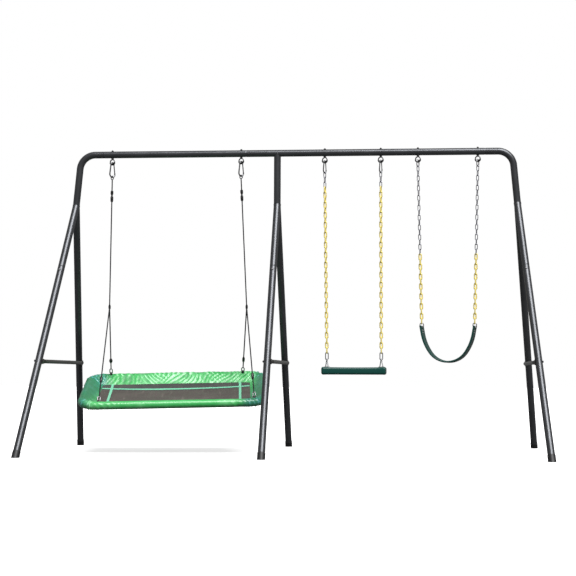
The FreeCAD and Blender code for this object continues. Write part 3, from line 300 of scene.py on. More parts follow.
def jumping_mat(name, colour, pale):
    """Tight woven mesh with the long soft creases of a cloth under little tension, painted highlight on
    the creases, streaks of painted sheen, some dust, and painted reflection that makes the rear part
    darker and bluer.
    """
    mat = Finish(name, colour, 0.62, 0.0, sheen_weight=0.25, sheen_roughness=0.4)
    weave = mat.waves(420, "X", "UV").maths("MAXIMUM", mat.waves(420, "Y", "UV"))
    crease = mat.noise(16, 4, (1.6, 0.22, 1), "UV")
    painted_sheen_streak = mat.noise(30, 4, (0.25, 1.5, 1), "UV")
    dust = mat.noise(6, 5, output="UV").step(0.45, 0.75)
    # painted highlight on the crease tops and painted sheen streaks, plus real dust, all towards the pale
    # colour
    light = crease.step(0.56, 0.72) * 0.55 + painted_sheen_streak.step(0.58, 0.74) * 0.35 + dust * 0.25
    # painted reflection: the rear part of the mat darker and bluer
    rear = mat.node("SeparateXYZ", {}, {0: mat.place(output="UV")}, 1).step(0.13, 0.21)
    darker = tuple(part * share for part, share in zip(colour, (0.62, 0.70, 0.95)))
    rear_reflection_base = mat.blend(rear, colour, darker)
    colour = mat.blend(light.clamped(), rear_reflection_base, pale)
    bumps = mat.bump(weave, 0.0003, 0.6, mat.bump(crease, 0.012, 0.35))
    return mat.surface(colour, 0.66 - crease * 0.22, bumps)


def webbing(name, colour):
    band = Finish(name, colour, 0.7, 0.0, sheen_weight=0.2)
    ribs = band.waves(380, "X", "UV")
    picks = band.waves(700, "Y", "UV")
    worn = band.noise(90, 4, output="UV").step(0.5, 0.8)
    # darker in real worn patches, and painted shade between the ribs of the weave
    colour = band.blend(worn * 0.4 + (1 - ribs) * 0.2, colour, shaded(colour, 0.72))
    return band.surface(colour, 0.62 + worn * 0.15, band.bump(ribs + picks * 0.5, 0.0006, 0.8))


def foam_finish(name, colour):
    foam = Finish(name, colour, 0.9)
    cells = foam.node("TexVoronoi", {}, {"Vector": foam.place(), "Scale": 500.0}, "Distance")
    foam.set("Base Color", foam.blend(cells.clamped(), colour, shaded(colour, 0.6)))
    foam.set("Normal", foam.bump(cells, 0.001, 0.6))
    return foam.material


def studio_floor(name, colour, glow):
    floor = Finish(name, colour, 0.9, emission_color=(1.0, 1.0, 1.0, 1.0), emission_strength=glow)
    mottle = floor.noise(1.5, 3)
    floor.set("Roughness", 0.82 + mottle * 0.12)
    return floor.material


# ---------------------------------------------------------------- settings


def colour_setting(name, description, default):
    limits = {"size": 3, "subtype": "COLOR", "min": 0.0, "max": 1.0}
    return FloatVectorProperty(name=name, description=description, default=default, **limits)


def length_setting(name, description, default):
    return FloatProperty(name=name, description=description, default=default, min=0.0, unit="LENGTH")


class SwingColours(bpy.types.PropertyGroup):
    coat: colour_setting("Frame coat", "Powder coat of the tubes", (0.068, 0.071, 0.077))
    brace: colour_setting("Brace coat", "Coat of the cross braces", (0.034, 0.034, 0.028))
    vinyl: colour_setting("Rim vinyl", "Padded rim sleeve", (0.036, 0.440, 0.092))
    mat: colour_setting("Mat", "Woven jumping mat", (0.060, 0.044, 0.040))
    webbing: colour_setting("Webbing", "Straps sewn on the mat", (0.20, 0.66, 0.42))
    rope: colour_setting("Rope", "Braided rope", (0.022, 0.023, 0.025))
    chain: colour_setting("Chain coating", "Dipped coating of the chains", (0.90, 0.74, 0.20))
    seat: colour_setting("Seats", "Bench seat and belt", (0.002, 0.058, 0.046))


class SwingSizes(bpy.types.PropertyGroup):
    coating: length_setting("Coated link", "Wire radius of a coated chain link", 0.0050)
    bare: length_setting("Bare link", "Wire radius of a bare chain link", 0.0030)
    weld: length_setting("Weld bead", "Radius of the weld beads", 0.0022)
    fold: length_setting("Rim folds", "Height of the folds in the rim sleeve", 0.0070)
    rope: length_setting("Rope", "Rope diameter", 0.0090)
    pitch: length_setting("Rim mesh", "Length of the rim's mesh rows", 0.0062)


# ---------------------------------------------------------------- making pieces


def held(value, low=0.0, high=1.0):
    """A number kept between two limits."""
    return min(max(value, low), high)


def mesh_of(name, shape):
    """The mesh that a bmesh holds, which is then let go."""
    mesh = bpy.data.meshes.new(name)
    shape.to_mesh(mesh)
    shape.free()
    return mesh


def linked(name, data):
    """An object in the scene."""
    item = bpy.data.objects.new(name, data)
    bpy.context.scene.collection.objects.link(item)
    return item


def outward_faces(shape):
    bmesh.ops.recalc_face_normals(shape, faces=shape.faces)


def merged(shape, distance=1e-5):
    bmesh.ops.remove_doubles(shape, verts=shape.verts, dist=distance)


def move(shape, matrix, verts=None):
    bmesh.ops.transform(shape, matrix=matrix, verts=shape.verts if verts is None else verts)


def capped(shape, edges):
    """Closes an open end."""
    bmesh.ops.holes_fill(shape, edges=edges, sides=0)


def turned(degrees, axis="Z"):
    return Matrix.Rotation(math.radians(degrees), 4, axis)


def finished(name, shape, material, body, slot, *nodes, angle=35.0, outward=True):
    """Turns a bmesh into a piece on its body, standing for the CAD nodes named."""
    if outward:
        outward_faces(shape)
    mesh = mesh_of(name, shape)
    mesh.shade_smooth()
    mesh.set_sharp_from_angle(angle=math.radians(angle))
    mesh.materials.append(material)
    item = linked(name, mesh)
    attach(item, body)
    if nodes:
        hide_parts(*nodes)
    return item


def coat_nodes(material, *names):
    """Gives CAD nodes their finish."""
    for name in names:
        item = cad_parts[name]
        item.data.materials.clear()
        item.data.materials.append(material)


def toward(direction, side=X_AXIS):
    """Turn that takes +Z to a direction, with +X as near as it can be to a side."""
    along = Vector(direction).normalized()
    across = (Vector(side) - along * along.dot(Vector(side))).normalized()
    return Matrix((across, along.cross(across), along)).transposed().to_4x4()


def ring_start(shape, radius, sides, centre, normal):
    """A circle of vertices to sweep."""
    made = bmesh.ops.create_circle(shape, cap_ends=False, radius=radius, segments=sides)
    side = Y_AXIS if abs(Vector(normal).y) < 0.9 else X_AXIS
    move(shape, Matrix.Translation(centre) @ toward(normal, side), made["verts"])
    edges = {edge for vert in made["verts"] for edge in vert.link_edges}
    return made["verts"] + list(edges)


def sweep(shape, front, runs):
    """Extrudes a ring through straight runs, (vector, steps), and arcs, (centre, axis, angle, steps)."""
    for run in runs:
        step = (0, 0, 0)
        if len(run) == 2:
            step = Vector(run[0]) / run[1]
            run = ((0, 0, 0), (0, 0, 1), 0.0, run[1])
        settings = dict(zip(("cent", "axis", "angle", "steps"), run))
        front = bmesh.ops.spin(shape, geom=front, dvec=step, **settings)["geom_last"]
    return front


def tube_through(shape, points, radius, sides=10, closed=False, wobble=0.0):
    """A round bead through points, as rings joined one to the next."""
    rings = []
    count = len(points)
    for index, point in enumerate(points):
        after = points[(index + 1) % count] if closed or index < count - 1 else point
        before = points[index - 1] if closed or index > 0 else point
        size = radius * (1 + wobble * math.sin(index * 2.1))
        made = ring_start(shape, size, sides, point, Vector(after) - Vector(before))
        rings.append([item for item in made if isinstance(item, bmesh.types.BMEdge)])
    pairs = zip(rings, rings[1:] + rings[:1]) if closed else zip(rings, rings[1:])
    for first, second in pairs:
        bmesh.ops.bridge_loops(shape, edges=first + second)
    if not closed:
        for ring in (rings[0], rings[-1]):
            capped(shape, ring)


def turned_piece(shape, profile, place, sides=24):
    """Spins a profile of (radius, height) pairs about +Z of its place."""
    points = [shape.verts.new((radius, 0, height)) for radius, height in profile]
    edges = [shape.edges.new(pair) for pair in zip(points, points[1:])]
    full = {"cent": (0, 0, 0), "axis": (0, 0, 1), "angle": FULL_TURN, "steps": sides, "use_merge": True}
    bmesh.ops.spin(shape, geom=points + edges, **full)
    fresh = {vert for vert in shape.verts if vert.tag is False}
    bmesh.ops.remove_doubles(shape, verts=list(fresh), dist=1e-6)
    fresh = [vert for vert in shape.verts if vert.tag is False]
    move(shape, place, fresh)
    for vert in fresh:
        vert.tag = True


def between(first, second):
    """Place on a line from one point towards another, and its length."""
    first, second = Vector(first), Vector(second)
    return Matrix.Translation(first) @ toward(second - first), (second - first).length


# ---------------------------------------------------------------- frame

FOOT_X, BEND_X, CENTRE_X, RAIL_Z = 1.805, 1.6, -0.125, 2.205
APEX_HEIGHT, FOOT_SPREAD, TUBE = 1.825, 0.9, 0.0254
LEAN = math.atan2(FOOT_X - BEND_X, RAIL_Z)
# the plane of each pair of legs, and the height in it where the two meet
FRAMES = [
    (Matrix.Translation((-FOOT_X, 0, 0)) @ Matrix.Rotation(LEAN, 4, "Y"), APEX_HEIGHT / math.cos(LEAN)),
    (Matrix.Translation((CENTRE_X, 0, 0)), APEX_HEIGHT),
    (Matrix.Translation((FOOT_X, 0, 0)) @ Matrix.Rotation(-LEAN, 4, "Y"), APEX_HEIGHT / math.cos(LEAN)),
]
BEAD_STEPS, BEAD_SIDES, BEAD_WOBBLE = 48, 8, 0.16


def round_tube(steps=BEAD_STEPS):
    """Points round a tube in plan."""
    turns = [FULL_TURN * index / BEAD_STEPS for index in range(steps)]
    return [(TUBE * math.cos(turn), TUBE * math.sin(turn)) for turn in turns]


def apex_bead(shape, place, apex, radius):
    """Weld beads where two legs meet their stub."""
    half = math.atan2(FOOT_SPREAD, apex)
    rise, fall = math.tan(half / 2), 1 / math.sin(half)
    up = [place @ Vector((x, y, apex + abs(y) * rise)) for x, y in round_tube()]
    between_legs = [place @ Vector((x, 0, apex - y * fall)) for x, y in round_tube(BEAD_STEPS // 2 + 1)]
    tube_through(shape, up, radius, BEAD_SIDES, True, BEAD_WOBBLE)
    tube_through(shape, between_legs, radius, BEAD_SIDES, False, BEAD_WOBBLE)


def saddle_bead(shape, radius):
    """Weld bead where the centre stub meets the rail."""
    points = []
    for x, y in round_tube():
        drop = math.sqrt(max(TUBE**2 - y**2, 0))
        points.append(Vector((CENTRE_X + x, y, RAIL_Z - max(drop, 0.004))))
    tube_through(shape, points, radius, BEAD_SIDES, True, BEAD_WOBBLE)


class SWING_OT_frame(bpy.types.Operator):
    """Coats the tubes, braces, caps and fasteners, and lays the weld beads"""

    bl_idname = "swing.frame"
    bl_label = "Frame"

    def execute(self, context):
        colours, sizes = context.scene.swing_colours, context.scene.swing_sizes
        coat = powder_coat("frame_coat", tuple(colours.coat), (0.104, 0.108, 0.117))
        kinds = ("elbow", "top_rail", "upper_leg", "lower_leg")
        tubes = [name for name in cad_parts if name.startswith(kinds)]
        coat_nodes(coat, "centre_stub", *tubes)
        brace = powder_coat("brace_coat", tuple(colours.brace), (0.055, 0.056, 0.047), 0.35)
        coat_nodes(brace, "brace_left", "brace_centre", "brace_right")
        coat_nodes(moulded("cap_plastic", (0.012, 0.012, 0.013), 0.5), "leg_end_caps")
        coat_nodes(steel("bolt_steel", (0.13, 0.13, 0.135), 0.4), "frame_bolts", "lock_nuts")
        coat_nodes(steel("eye_steel", (0.26, 0.26, 0.27), 0.36), "eye_bolts")
        bushing = moulded("bushing_plastic", (0.010, 0.010, 0.011), 0.34, gloss=0.3)
        coat_nodes(bushing, "eye_spacers", "eye_nuts")
        finished("bushing_sleeves", self.sleeves(), bushing, "frame", "bushing_plastic", "wear_bushings")
        beads = bmesh.new()
        for place, apex in FRAMES:
            apex_bead(beads, place, apex, sizes.weld)
        saddle_bead(beads, sizes.weld)
        weld = powder_coat("weld_coat", shaded(colours.coat, 0.8), (0.08, 0.084, 0.088))
        finished("weld_beads", beads, weld, "frame", "frame_coat", angle=60)
        return {"FINISHED"}

    def sleeves(self):
        """Thick worn sleeves on the lower halves of the eye rings, thinner towards their ends."""
        shape = bmesh.new()
        for x in EYES:
            before = len(shape.verts)
            first = math.radians(SLEEVE_START)
            start = Vector((math.cos(first), 0, math.sin(first))) * EYE_RING
            front = ring_start(shape, SLEEVE_RADIUS, 14, start, (math.sin(first), 0, -math.cos(first)))
            sweep(shape, front, [((0, 0, 0), -Y_AXIS, math.radians(SLEEVE_SWEEP), 24)])
            shape.verts.ensure_lookup_table()
            made = shape.verts[before:]
            for vert in made:
                middle = Vector((vert.co.x, 0, vert.co.z)).normalized() * EYE_RING
                full = max(-middle.z / EYE_RING, 0.0) ** 0.35
                vert.co = middle + (vert.co - middle) * (0.72 + 0.28 * full)
            capped(shape, list({edge for vert in made for edge in vert.link_edges if edge.is_boundary}))
            move(shape, Matrix.Translation((x, 0, EYE_Z)) @ turned(EYE_TURN), made)
        return shape


# ---------------------------------------------------------------- hooks and links


class SWING_OT_hooks(bpy.types.Operator):
    """Finishes the carabiners, their gates, and the links of the three swings"""

    bl_idname = "swing.hooks"
    bl_label = "Hooks and links"

    def execute(self, context):
        dark = steel("hook_steel", (0.20, 0.205, 0.21), 0.3)
        gates = [f"{swing}_gate_{side}" for swing in ("platform", "bench") for side in ("left", "right")]
        coat_nodes(dark, "platform_carabiners", *gates)
        bright = steel("link_steel", (0.50, 0.50, 0.52), 0.28)
        coat_nodes(bright, "bench_links", "bench_bails", "belt_quick_links", "belt_rings")
        coat_nodes(steel("rim_link_steel", (0.32, 0.32, 0.335), 0.3), "rope_thimbles", "rim_links")
        coat_nodes(steel("bench_hook_steel", (0.22, 0.225, 0.23), 0.3), "bench_carabiners")
        return {"FINISHED"}


# ---------------------------------------------------------------- ropes

# each rope from its upper end to its lower, and what is moulded on it, from where to where
ROPES = {
    "hanger_rope_left": (
        (-1.365, 0.0, 2.01525), (-1.3739, 0.0, 1.0774),
        "double", (-1.36575, 0.0, 1.93633), (-1.36657, 0.0, 1.85033),
    ),
    "hanger_rope_right": (
        (-0.395, 0.0, 2.01525), (-0.34851, 0.0, 1.07739),
        "double", (-0.39109, 0.0, 1.93628), (-0.38683, 0.0, 1.85038),
    ),
    "front_rope_left": (
        (-1.37364, -0.00549, 1.05817), (-1.34768, -0.40666, 0.41329),
        "barrel", (-1.35324, -0.32073, 0.55143), (-1.35146, -0.34818, 0.5073),
    ),
    "front_rope_right": (
        (-0.34661, -0.00393, 1.05747), (-0.25785, -0.25573, 0.44691),
        "barrel", (-0.27729, -0.20058, 0.58063), (-0.27037, -0.22023, 0.53299),
    ),
    "rear_rope_left": (
        (-1.3749, 0.00531, 1.0581), (-1.41975, 0.27122, 0.6122),
        "ball", (-1.41168, 0.22338, 0.69242), (-1.41616, 0.24992, 0.64792),
    ),
    "rear_rope_right": (
        (-0.34935, 0.00685, 1.05929), (-0.42546, 0.39288, 0.62502),
        "barrel", (-0.41219, 0.32557, 0.70074), (-0.41894, 0.35983, 0.66221),
    ),
}
FORKS = {"left": (-1.374, 0, 1.067), "right": (-0.348, 0, 1.067)}
FORK_REACH, TWINE_STEPS = 0.017, 30
# the foot and the pull of each link that stands on the rim
RIM_LINKS = (
    ((-1.34621, -0.42926, 0.37697), (-1.34753, -0.40899, 0.40955)),
    ((-1.42344, 0.29306, 0.57558), (-1.42013, 0.27346, 0.60844)),
    ((-0.25215, -0.2719, 0.40769), (-0.25727, -0.25739, 0.44287)),
    ((-0.43102, 0.42108, 0.5933), (-0.42603, 0.39578, 0.62176)),
)


def rope_curve(name, first, last, diameter, material):
    """A rope as one smooth line between its two ends."""
    first, last = Vector(first), Vector(last)
    data = bpy.data.curves.new(name, "CURVE")
    data.dimensions = "3D"
    spline = data.splines.new("NURBS")
    points = [first.lerp(last, share) for share in (0.0, 0.06, 0.5, 0.94, 1.0)]
    spline.points.add(len(points) - 1)
    for point, place in zip(spline.points, points):
        point.co = (*place, 1.0)
    spline.order_u = 3
    spline.use_endpoint_u = True
    data.bevel_depth = diameter / 2
    data.bevel_resolution = 5
    data.use_fill_caps = True
    data.materials.append(material)
    return linked(name, data)


def lumps(shape, ends, profile):
    """A moulded adjuster along a stretch of rope; the profile's heights are shares of its length."""
    place, length = between(*ends)
    turned_piece(shape, [(radius, share * length) for radius, share in profile], place)


def adjuster_profiles(bore):
    """Outlines of the three kinds of adjuster, as (radius, share of the length)."""
    return {
        "double": [
            (bore, 0), (0.0095, 0.03), (0.0105, 0.12), (0.0105, 0.30), (0.0068, 0.38), (0.0064, 0.46),
            (0.0100, 0.54), (0.0108, 0.64), (0.0106, 0.84), (0.0088, 0.96), (bore, 1.0),
        ],
        "barrel": [
            (bore, 0), (0.0066, 0.02), (0.0092, 0.14), (0.0104, 0.34), (0.0100, 0.62), (0.0078, 0.86),
            (bore, 1.0),
        ],
        "ball": [
            (bore, 0.14), (0.0080, 0.19), (0.0118, 0.36), (0.0130, 0.5), (0.0118, 0.64), (0.0080, 0.81),
            (bore, 0.86),
        ],
    }


def whipping(share):
    """Radius of a bound splice along its length: fuller in the middle, with a step for each turn."""
    turn = 0.0005 if round(share * TWINE_STEPS) % 2 else 0.0
    return 0.0062 + 0.0024 * math.sin(math.pi * share) + turn


class SWING_OT_ropes(bpy.types.Operator):
    """Hangs the platform's ropes with their adjusters and bound splices"""

    bl_idname = "swing.ropes"
    bl_label = "Ropes"

    def execute(self, context):
        colours, sizes = context.scene.swing_colours, context.scene.swing_sizes
        rope = braided("rope", tuple(colours.rope))
        black = moulded("adjuster_plastic", (0.011, 0.011, 0.012), 0.38, gloss=0.2)
        bore = sizes.rope / 2 - 0.0002
        outlines = adjuster_profiles(bore)
        for name, (first, last, kind, *ends) in ROPES.items():
            shape = bmesh.new()
            lumps(shape, ends, outlines[kind])
            told = ("platform_swing", "adjuster_plastic", "rope_adjusters")
            pieces = [finished(name + "_adjuster", shape, black, *told, angle=50)]
            if name.startswith("hanger"):
                pieces.append(self.splice(name.split("_")[-1], bore, rope))
            item = rope_curve(name + "_braid", first, last, sizes.rope, rope)
            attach(item, "platform_swing")
            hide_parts(name)
        return {"FINISHED"}

    def splice(self, side, bore, rope):
        """The bound splice where one rope becomes two."""
        centre, half = Vector(FORKS[side]), Vector((0, 0, FORK_REACH))
        shares = [step / TWINE_STEPS for step in range(1, TWINE_STEPS)]
        profile = [(bore, 0.0)] + [(whipping(share), share) for share in shares] + [(bore, 1.0)]
        shape = bmesh.new()
        lumps(shape, (centre + half, centre - half), profile)
        name = f"fork_whipping_{side}"
        return finished(name, shape, rope, "platform_swing", "rope", "fork_knots", angle=60)


# ---------------------------------------------------------------- padded rim

# the loops on the rim: half width, height, hidden tails, half thickness and how much wider they are spread
LOOP_HALF, LOOP_HIGH, LOOP_TAIL, LOOP_WEB, LOOP_SPREAD, LOOP_STEPS = 0.0088, 0.0055, 0.016, 0.0021, 3.4, 24


def pad_outline(radius=RIM_RADIUS - 0.0005, back=30, upper=22, lower=12):
    """Section of the rim cover, outwards and up: a round back, then a padded slope in to the mat."""
    edge = Vector((-RIM_REACH, -RIM_FALL))
    spread = math.acos(radius / edge.length)
    inward = math.atan2(edge.y, edge.x)
    points = []
    for step in range(back + 1):
        angle = inward - spread - (FULL_TURN - 2 * spread) * step / back
        points.append(Vector((math.cos(angle), math.sin(angle))) * radius)
    low, high = points[0], points[-1]
    slope = (edge - high).normalized()
    swell = Vector((-slope.y, slope.x)) * -1
    for step in range(1, upper + 1):
        share = step / upper
        points.append(high.lerp(edge, share) + swell * 0.0045 * math.sin(math.pi * share))
    under = (low - edge).normalized()
    hollow = Vector((under.y, -under.x)) * -0.001
    for step in range(1, lower):
        share = step / lower
        points.append(edge.lerp(low, share) + hollow * math.sin(math.pi * share))
    return points


def rim_place(x, y):
    """For points in plan: the nearest point of the rim's line, the way out and the length along it."""
    a, b = RIM_X - RIM_CORNER, RIM_Y - RIM_CORNER
    core_x, core_y = np.clip(x, -a, a), np.clip(y, -b, b)
    out_x, out_y = x - core_x, y - core_y
    reach = np.maximum(np.hypot(out_x, out_y), 1e-9)
    out_x, out_y = out_x / reach, out_y / reach
    turn = np.mod(np.arctan2(out_y, out_x) + math.pi / 2, FULL_TURN)
    side = np.round(turn / (math.pi / 2)).astype(int)
    straight = np.choose(side % 4, [core_x, a + b + core_y, 2 * (a + b) - core_x, 3 * (a + b) - core_y])
    straight = straight + np.where(side == 4, 4 * (a + b), 0)
    along = np.mod(straight + RIM_CORNER * turn, 4 * (a + b) + FULL_TURN * RIM_CORNER)
    return core_x + out_x * RIM_CORNER, core_y + out_y * RIM_CORNER, out_x, out_y, along


def wobble(*place):
    return noise.noise(Vector(place))


def fold_height(along, around, slack):
    """Folds of a loose sleeve: slanting pleats that swap their slant, wander and fade, 0 to 1."""
    wander = wobble(along * 6, around * 7, 4.2) * 1.5
    slant = []
    for sign in (1, -1):
        wave = 0.5 + 0.5 * math.sin(FULL_TURN * (along * 27 + sign * (around * 17 + wander)))
        slant.append(wave ** 1.7)
    pick = held(0.5 + 2.2 * wobble(along * 5, around * 2, 9.1))
    fade = held(0.62 + 1.1 * wobble(along * 11, around * 13, 1.7), 0.12)
    small = max(1 - abs(wobble(along * 46 + around * 20, around * 15, 2.7)) * 2.6, 0) ** 1.6
    return slack * ((slant[0] * pick + slant[1] * (1 - pick)) * fade * 0.85 + 0.18 * small)


def soft_step(reach, width):
    """0 well before a line, 1 well past it."""
    return 1 / (1 + math.exp(-reach / width))


def rim_slack(x, y):
    """How loose the sleeve is: tight along the front, loose at the rear, the ends and the corners."""
    front = soft_step(0.07 - RIM_Y - y, 0.018)
    middle = soft_step(RIM_X - 0.22 - abs(x), 0.030)
    rear = soft_step(y - RIM_Y + 0.11, 0.018)
    return (0.42 + 0.58 * rear) * (1.0 - 0.82 * front * middle)


def gathers(x, y, along, around):
    """Tight puckers of the sleeve round the corners."""
    near_x = held((abs(x) - RIM_X + RIM_CORNER + 0.02) / 0.06)
    near_y = held((abs(y) - RIM_Y + RIM_CORNER + 0.02) / 0.06)
    wave = math.sin(along * 330 + 2.2 * math.sin(along * 61) + around * 30)
    return near_x * near_y * (0.5 + 0.5 * wave) ** 1.5 * (0.6 + 0.4 * math.sin(along * 97))


class SWING_OT_rim(bpy.types.Operator):
    """Makes the padded rim cover with its folds, and the loops that hold the rope links"""

    bl_idname = "swing.rim"
    bl_label = "Padded rim"

    def execute(self, context):
        colours, sizes = context.scene.swing_colours, context.scene.swing_sizes
        shape = bmesh.new()
        a, b = RIM_X - RIM_CORNER, RIM_Y - RIM_CORNER
        points = [shape.verts.new((0, -RIM_Y - out, up)) for out, up in pad_outline()]
        edges = [shape.edges.new(pair) for pair in zip(points, points[1:] + points[:1])]
        long_steps, short_steps = round(2 * a / sizes.pitch), round(2 * b / sizes.pitch)
        corner = (Z_AXIS, math.pi / 2, round(RIM_CORNER * math.pi / 2 / sizes.pitch))
        half_front = ((a, 0, 0), long_steps // 2)
        runs = [half_front, ((a, -b, 0), *corner), ((0, 2 * b, 0), short_steps), ((a, b, 0), *corner)]
        runs += [((-2 * a, 0, 0), long_steps), ((-a, b, 0), *corner)]
        runs += [((0, -2 * b, 0), short_steps), ((-a, -b, 0), *corner), half_front]
        sweep(shape, points + edges, runs)
        merged(shape)
        outward_faces(shape)
        mould_folds(shape, sizes.fold)
        move(shape, PLATFORM)
        # colours: painted highlight for fold crests, the vinyl, painted shade for fold hollows and the
        # underside
        skin = vinyl("rim_vinyl", (0.40, 0.86, 0.48), tuple(colours.vinyl), (0.003, 0.100, 0.030))
        cover = finished("rim_sleeve", shape, skin, "platform_swing", "rim_vinyl", "rim_cover", angle=80)
        coat_nodes(foam_finish("rim_foam", (0.80, 0.80, 0.77)), "rim_foam")
        coat = powder_coat("rim_steel", (0.08, 0.08, 0.085), (0.13, 0.13, 0.135))
        coat_nodes(coat, "rim_tube_left", "rim_tube_right")
        self.loops()
        return {"FINISHED"}

    def loops(self):
        """Black webbing loops that come out of the cover and go through the links."""
        shape = bmesh.new()
        for foot, pull in RIM_LINKS:
            foot = Vector(foot)
            up = (Vector(pull) - foot).normalized()
            across = PLATFORM.to_3x3() @ X_AXIS
            across = (across - up * across.dot(up)).normalized()
            side = up.cross(across)
            points = []
            for step in range(LOOP_STEPS + 1):
                turn = math.pi * step / LOOP_STEPS
                arch = up * LOOP_HIGH * math.sin(turn) ** 0.7
                points.append(foot + side * LOOP_HALF * math.cos(turn) + arch)
            points = [points[0] - up * LOOP_TAIL] + points + [points[-1] - up * LOOP_TAIL]
            before = len(shape.verts)
            tube_through(shape, points, LOOP_WEB)
            shape.verts.ensure_lookup_table()
            for vert in shape.verts[before:]:
                away = (vert.co - foot).dot(across)
                vert.co += across * away * LOOP_SPREAD
        black = webbing("loop_webbing", (0.012, 0.012, 0.013))
        finished("rim_loops", shape, black, "platform_swing", "webbing", angle=60)


def mould_folds(shape, height):
    """Moves the cover's skin in and out, and writes its UV map and its fold attribute, which holds painted
    highlight on crests and puckers and painted shade in hollows and underneath.
    """
    shape.verts.ensure_lookup_table()
    place = np.array([vert.co for vert in shape.verts])
    line_x, line_y, out_x, out_y, along = rim_place(place[:, 0], place[:, 1])
    out = (place[:, 0] - line_x) * out_x + (place[:, 1] - line_y) * out_y
    outline = np.array(pad_outline())
    steps = np.hypot(*(np.roll(outline, -1, 0) - outline).T)
    lengths = np.concatenate(([0.0], np.cumsum(steps)[:-1]))
    angles = np.unwrap(np.arctan2(outline[:, 1], outline[:, 0]))
    start = angles[0]
    angle = start - np.mod(start - np.arctan2(place[:, 2], out), FULL_TURN)
    angle = np.where(start - angle > FULL_TURN - 1e-6, start, angle)
    around = np.interp(start - angle, start - angles, lengths)
    total = steps.sum()
    attribute = shape.verts.layers.float.new("fold")
    sheet = shape.loops.layers.uv.new("UVMap")
    normals = [vert.normal.copy() for vert in shape.verts]
    whole = 4 * (RIM_X + RIM_Y - 2 * RIM_CORNER) + FULL_TURN * RIM_CORNER
    for index, vert in enumerate(shape.verts):
        x, y, s, t = line_x[index], line_y[index], along[index], around[index]
        seam = min(min(s, whole - s) / 0.04, 1.0)
        hem = min(math.hypot(out[index] + RIM_REACH, place[index, 2] + RIM_FALL) / 0.025, 1.0)
        slack = rim_slack(x, y) * seam
        lift = fold_height(s, t, slack)
        gather = gathers(x, y, s, t)
        vert.co += normals[index] * height * hem * (lift + 0.7 * gather - 0.34 * slack)
        # painted light: lighter on the crests of folds and puckers, darker in their hollows
        fold_light_and_shade = 0.46 + (lift + 0.60 * gather - 0.32 * slack) * 0.95
        # painted shade: darker where the cover's outer part faces down
        fold_light_and_shade -= 0.42 * max(0.0, -normals[index].z) ** 0.7 * (out[index] > -0.02)
        vert[attribute] = held(fold_light_and_shade)
    for face in shape.faces:
        turns = [around[loop.vert.index] for loop in face.loops]
        runs = [along[loop.vert.index] for loop in face.loops]
        for loop, turn, run in zip(face.loops, turns, runs):
            if max(turns) - min(turns) > total / 2 and turn < total / 2:
                turn += total
            if max(runs) - min(runs) > whole / 2 and run < whole / 2:
                run += whole
            loop[sheet].uv = (run, turn)


# ---------------------------------------------------------------- mat and straps


def mat_height(x, y):
    """Sag of the mat, with a little slack along its edges."""
    across, along = 1 - (x / MAT_X) ** 2, 1 - (y / MAT_Y) ** 2
    hang = MAT_SAG * max(across, 0) ** 0.8 * max(along, 0) ** 0.8
    ripple = 0.0014 * wobble(x * 5, y * 14, 2.0) + 0.0008 * wobble(x * 22, y * 6, 7.0)
    return MAT_TOP - hang + ripple


def band(shape, sheet, ends, width, lift, steps):
    """A strap laid on the mat from one end to the other."""
    first, last = Vector(ends[0]), Vector(ends[1])
    along = (last - first).normalized()
    side = Vector((-along.y, along.x))
    rows = []
    for index in range(steps + 1):
        middle = first.lerp(last, index / steps)
        row = []
        for share in (-0.5, 0.0, 0.5):
            spot = middle + side * width * share
            row.append(shape.verts.new((spot.x, spot.y, mat_height(spot.x, spot.y) + lift)))
        rows.append(row)
    row_length = (last - first).length / steps
    for index, (low, high) in enumerate(zip(rows, rows[1:])):
        for column in (0, 1):
            face = shape.faces.new((low[column], low[column + 1], high[column + 1], high[column]))
            for loop, (u, v) in zip(face.loops, ((0, 0), (1, 0), (1, 1), (0, 1))):
                loop[sheet].uv = ((column + u) * width / 2, (index + v) * row_length)


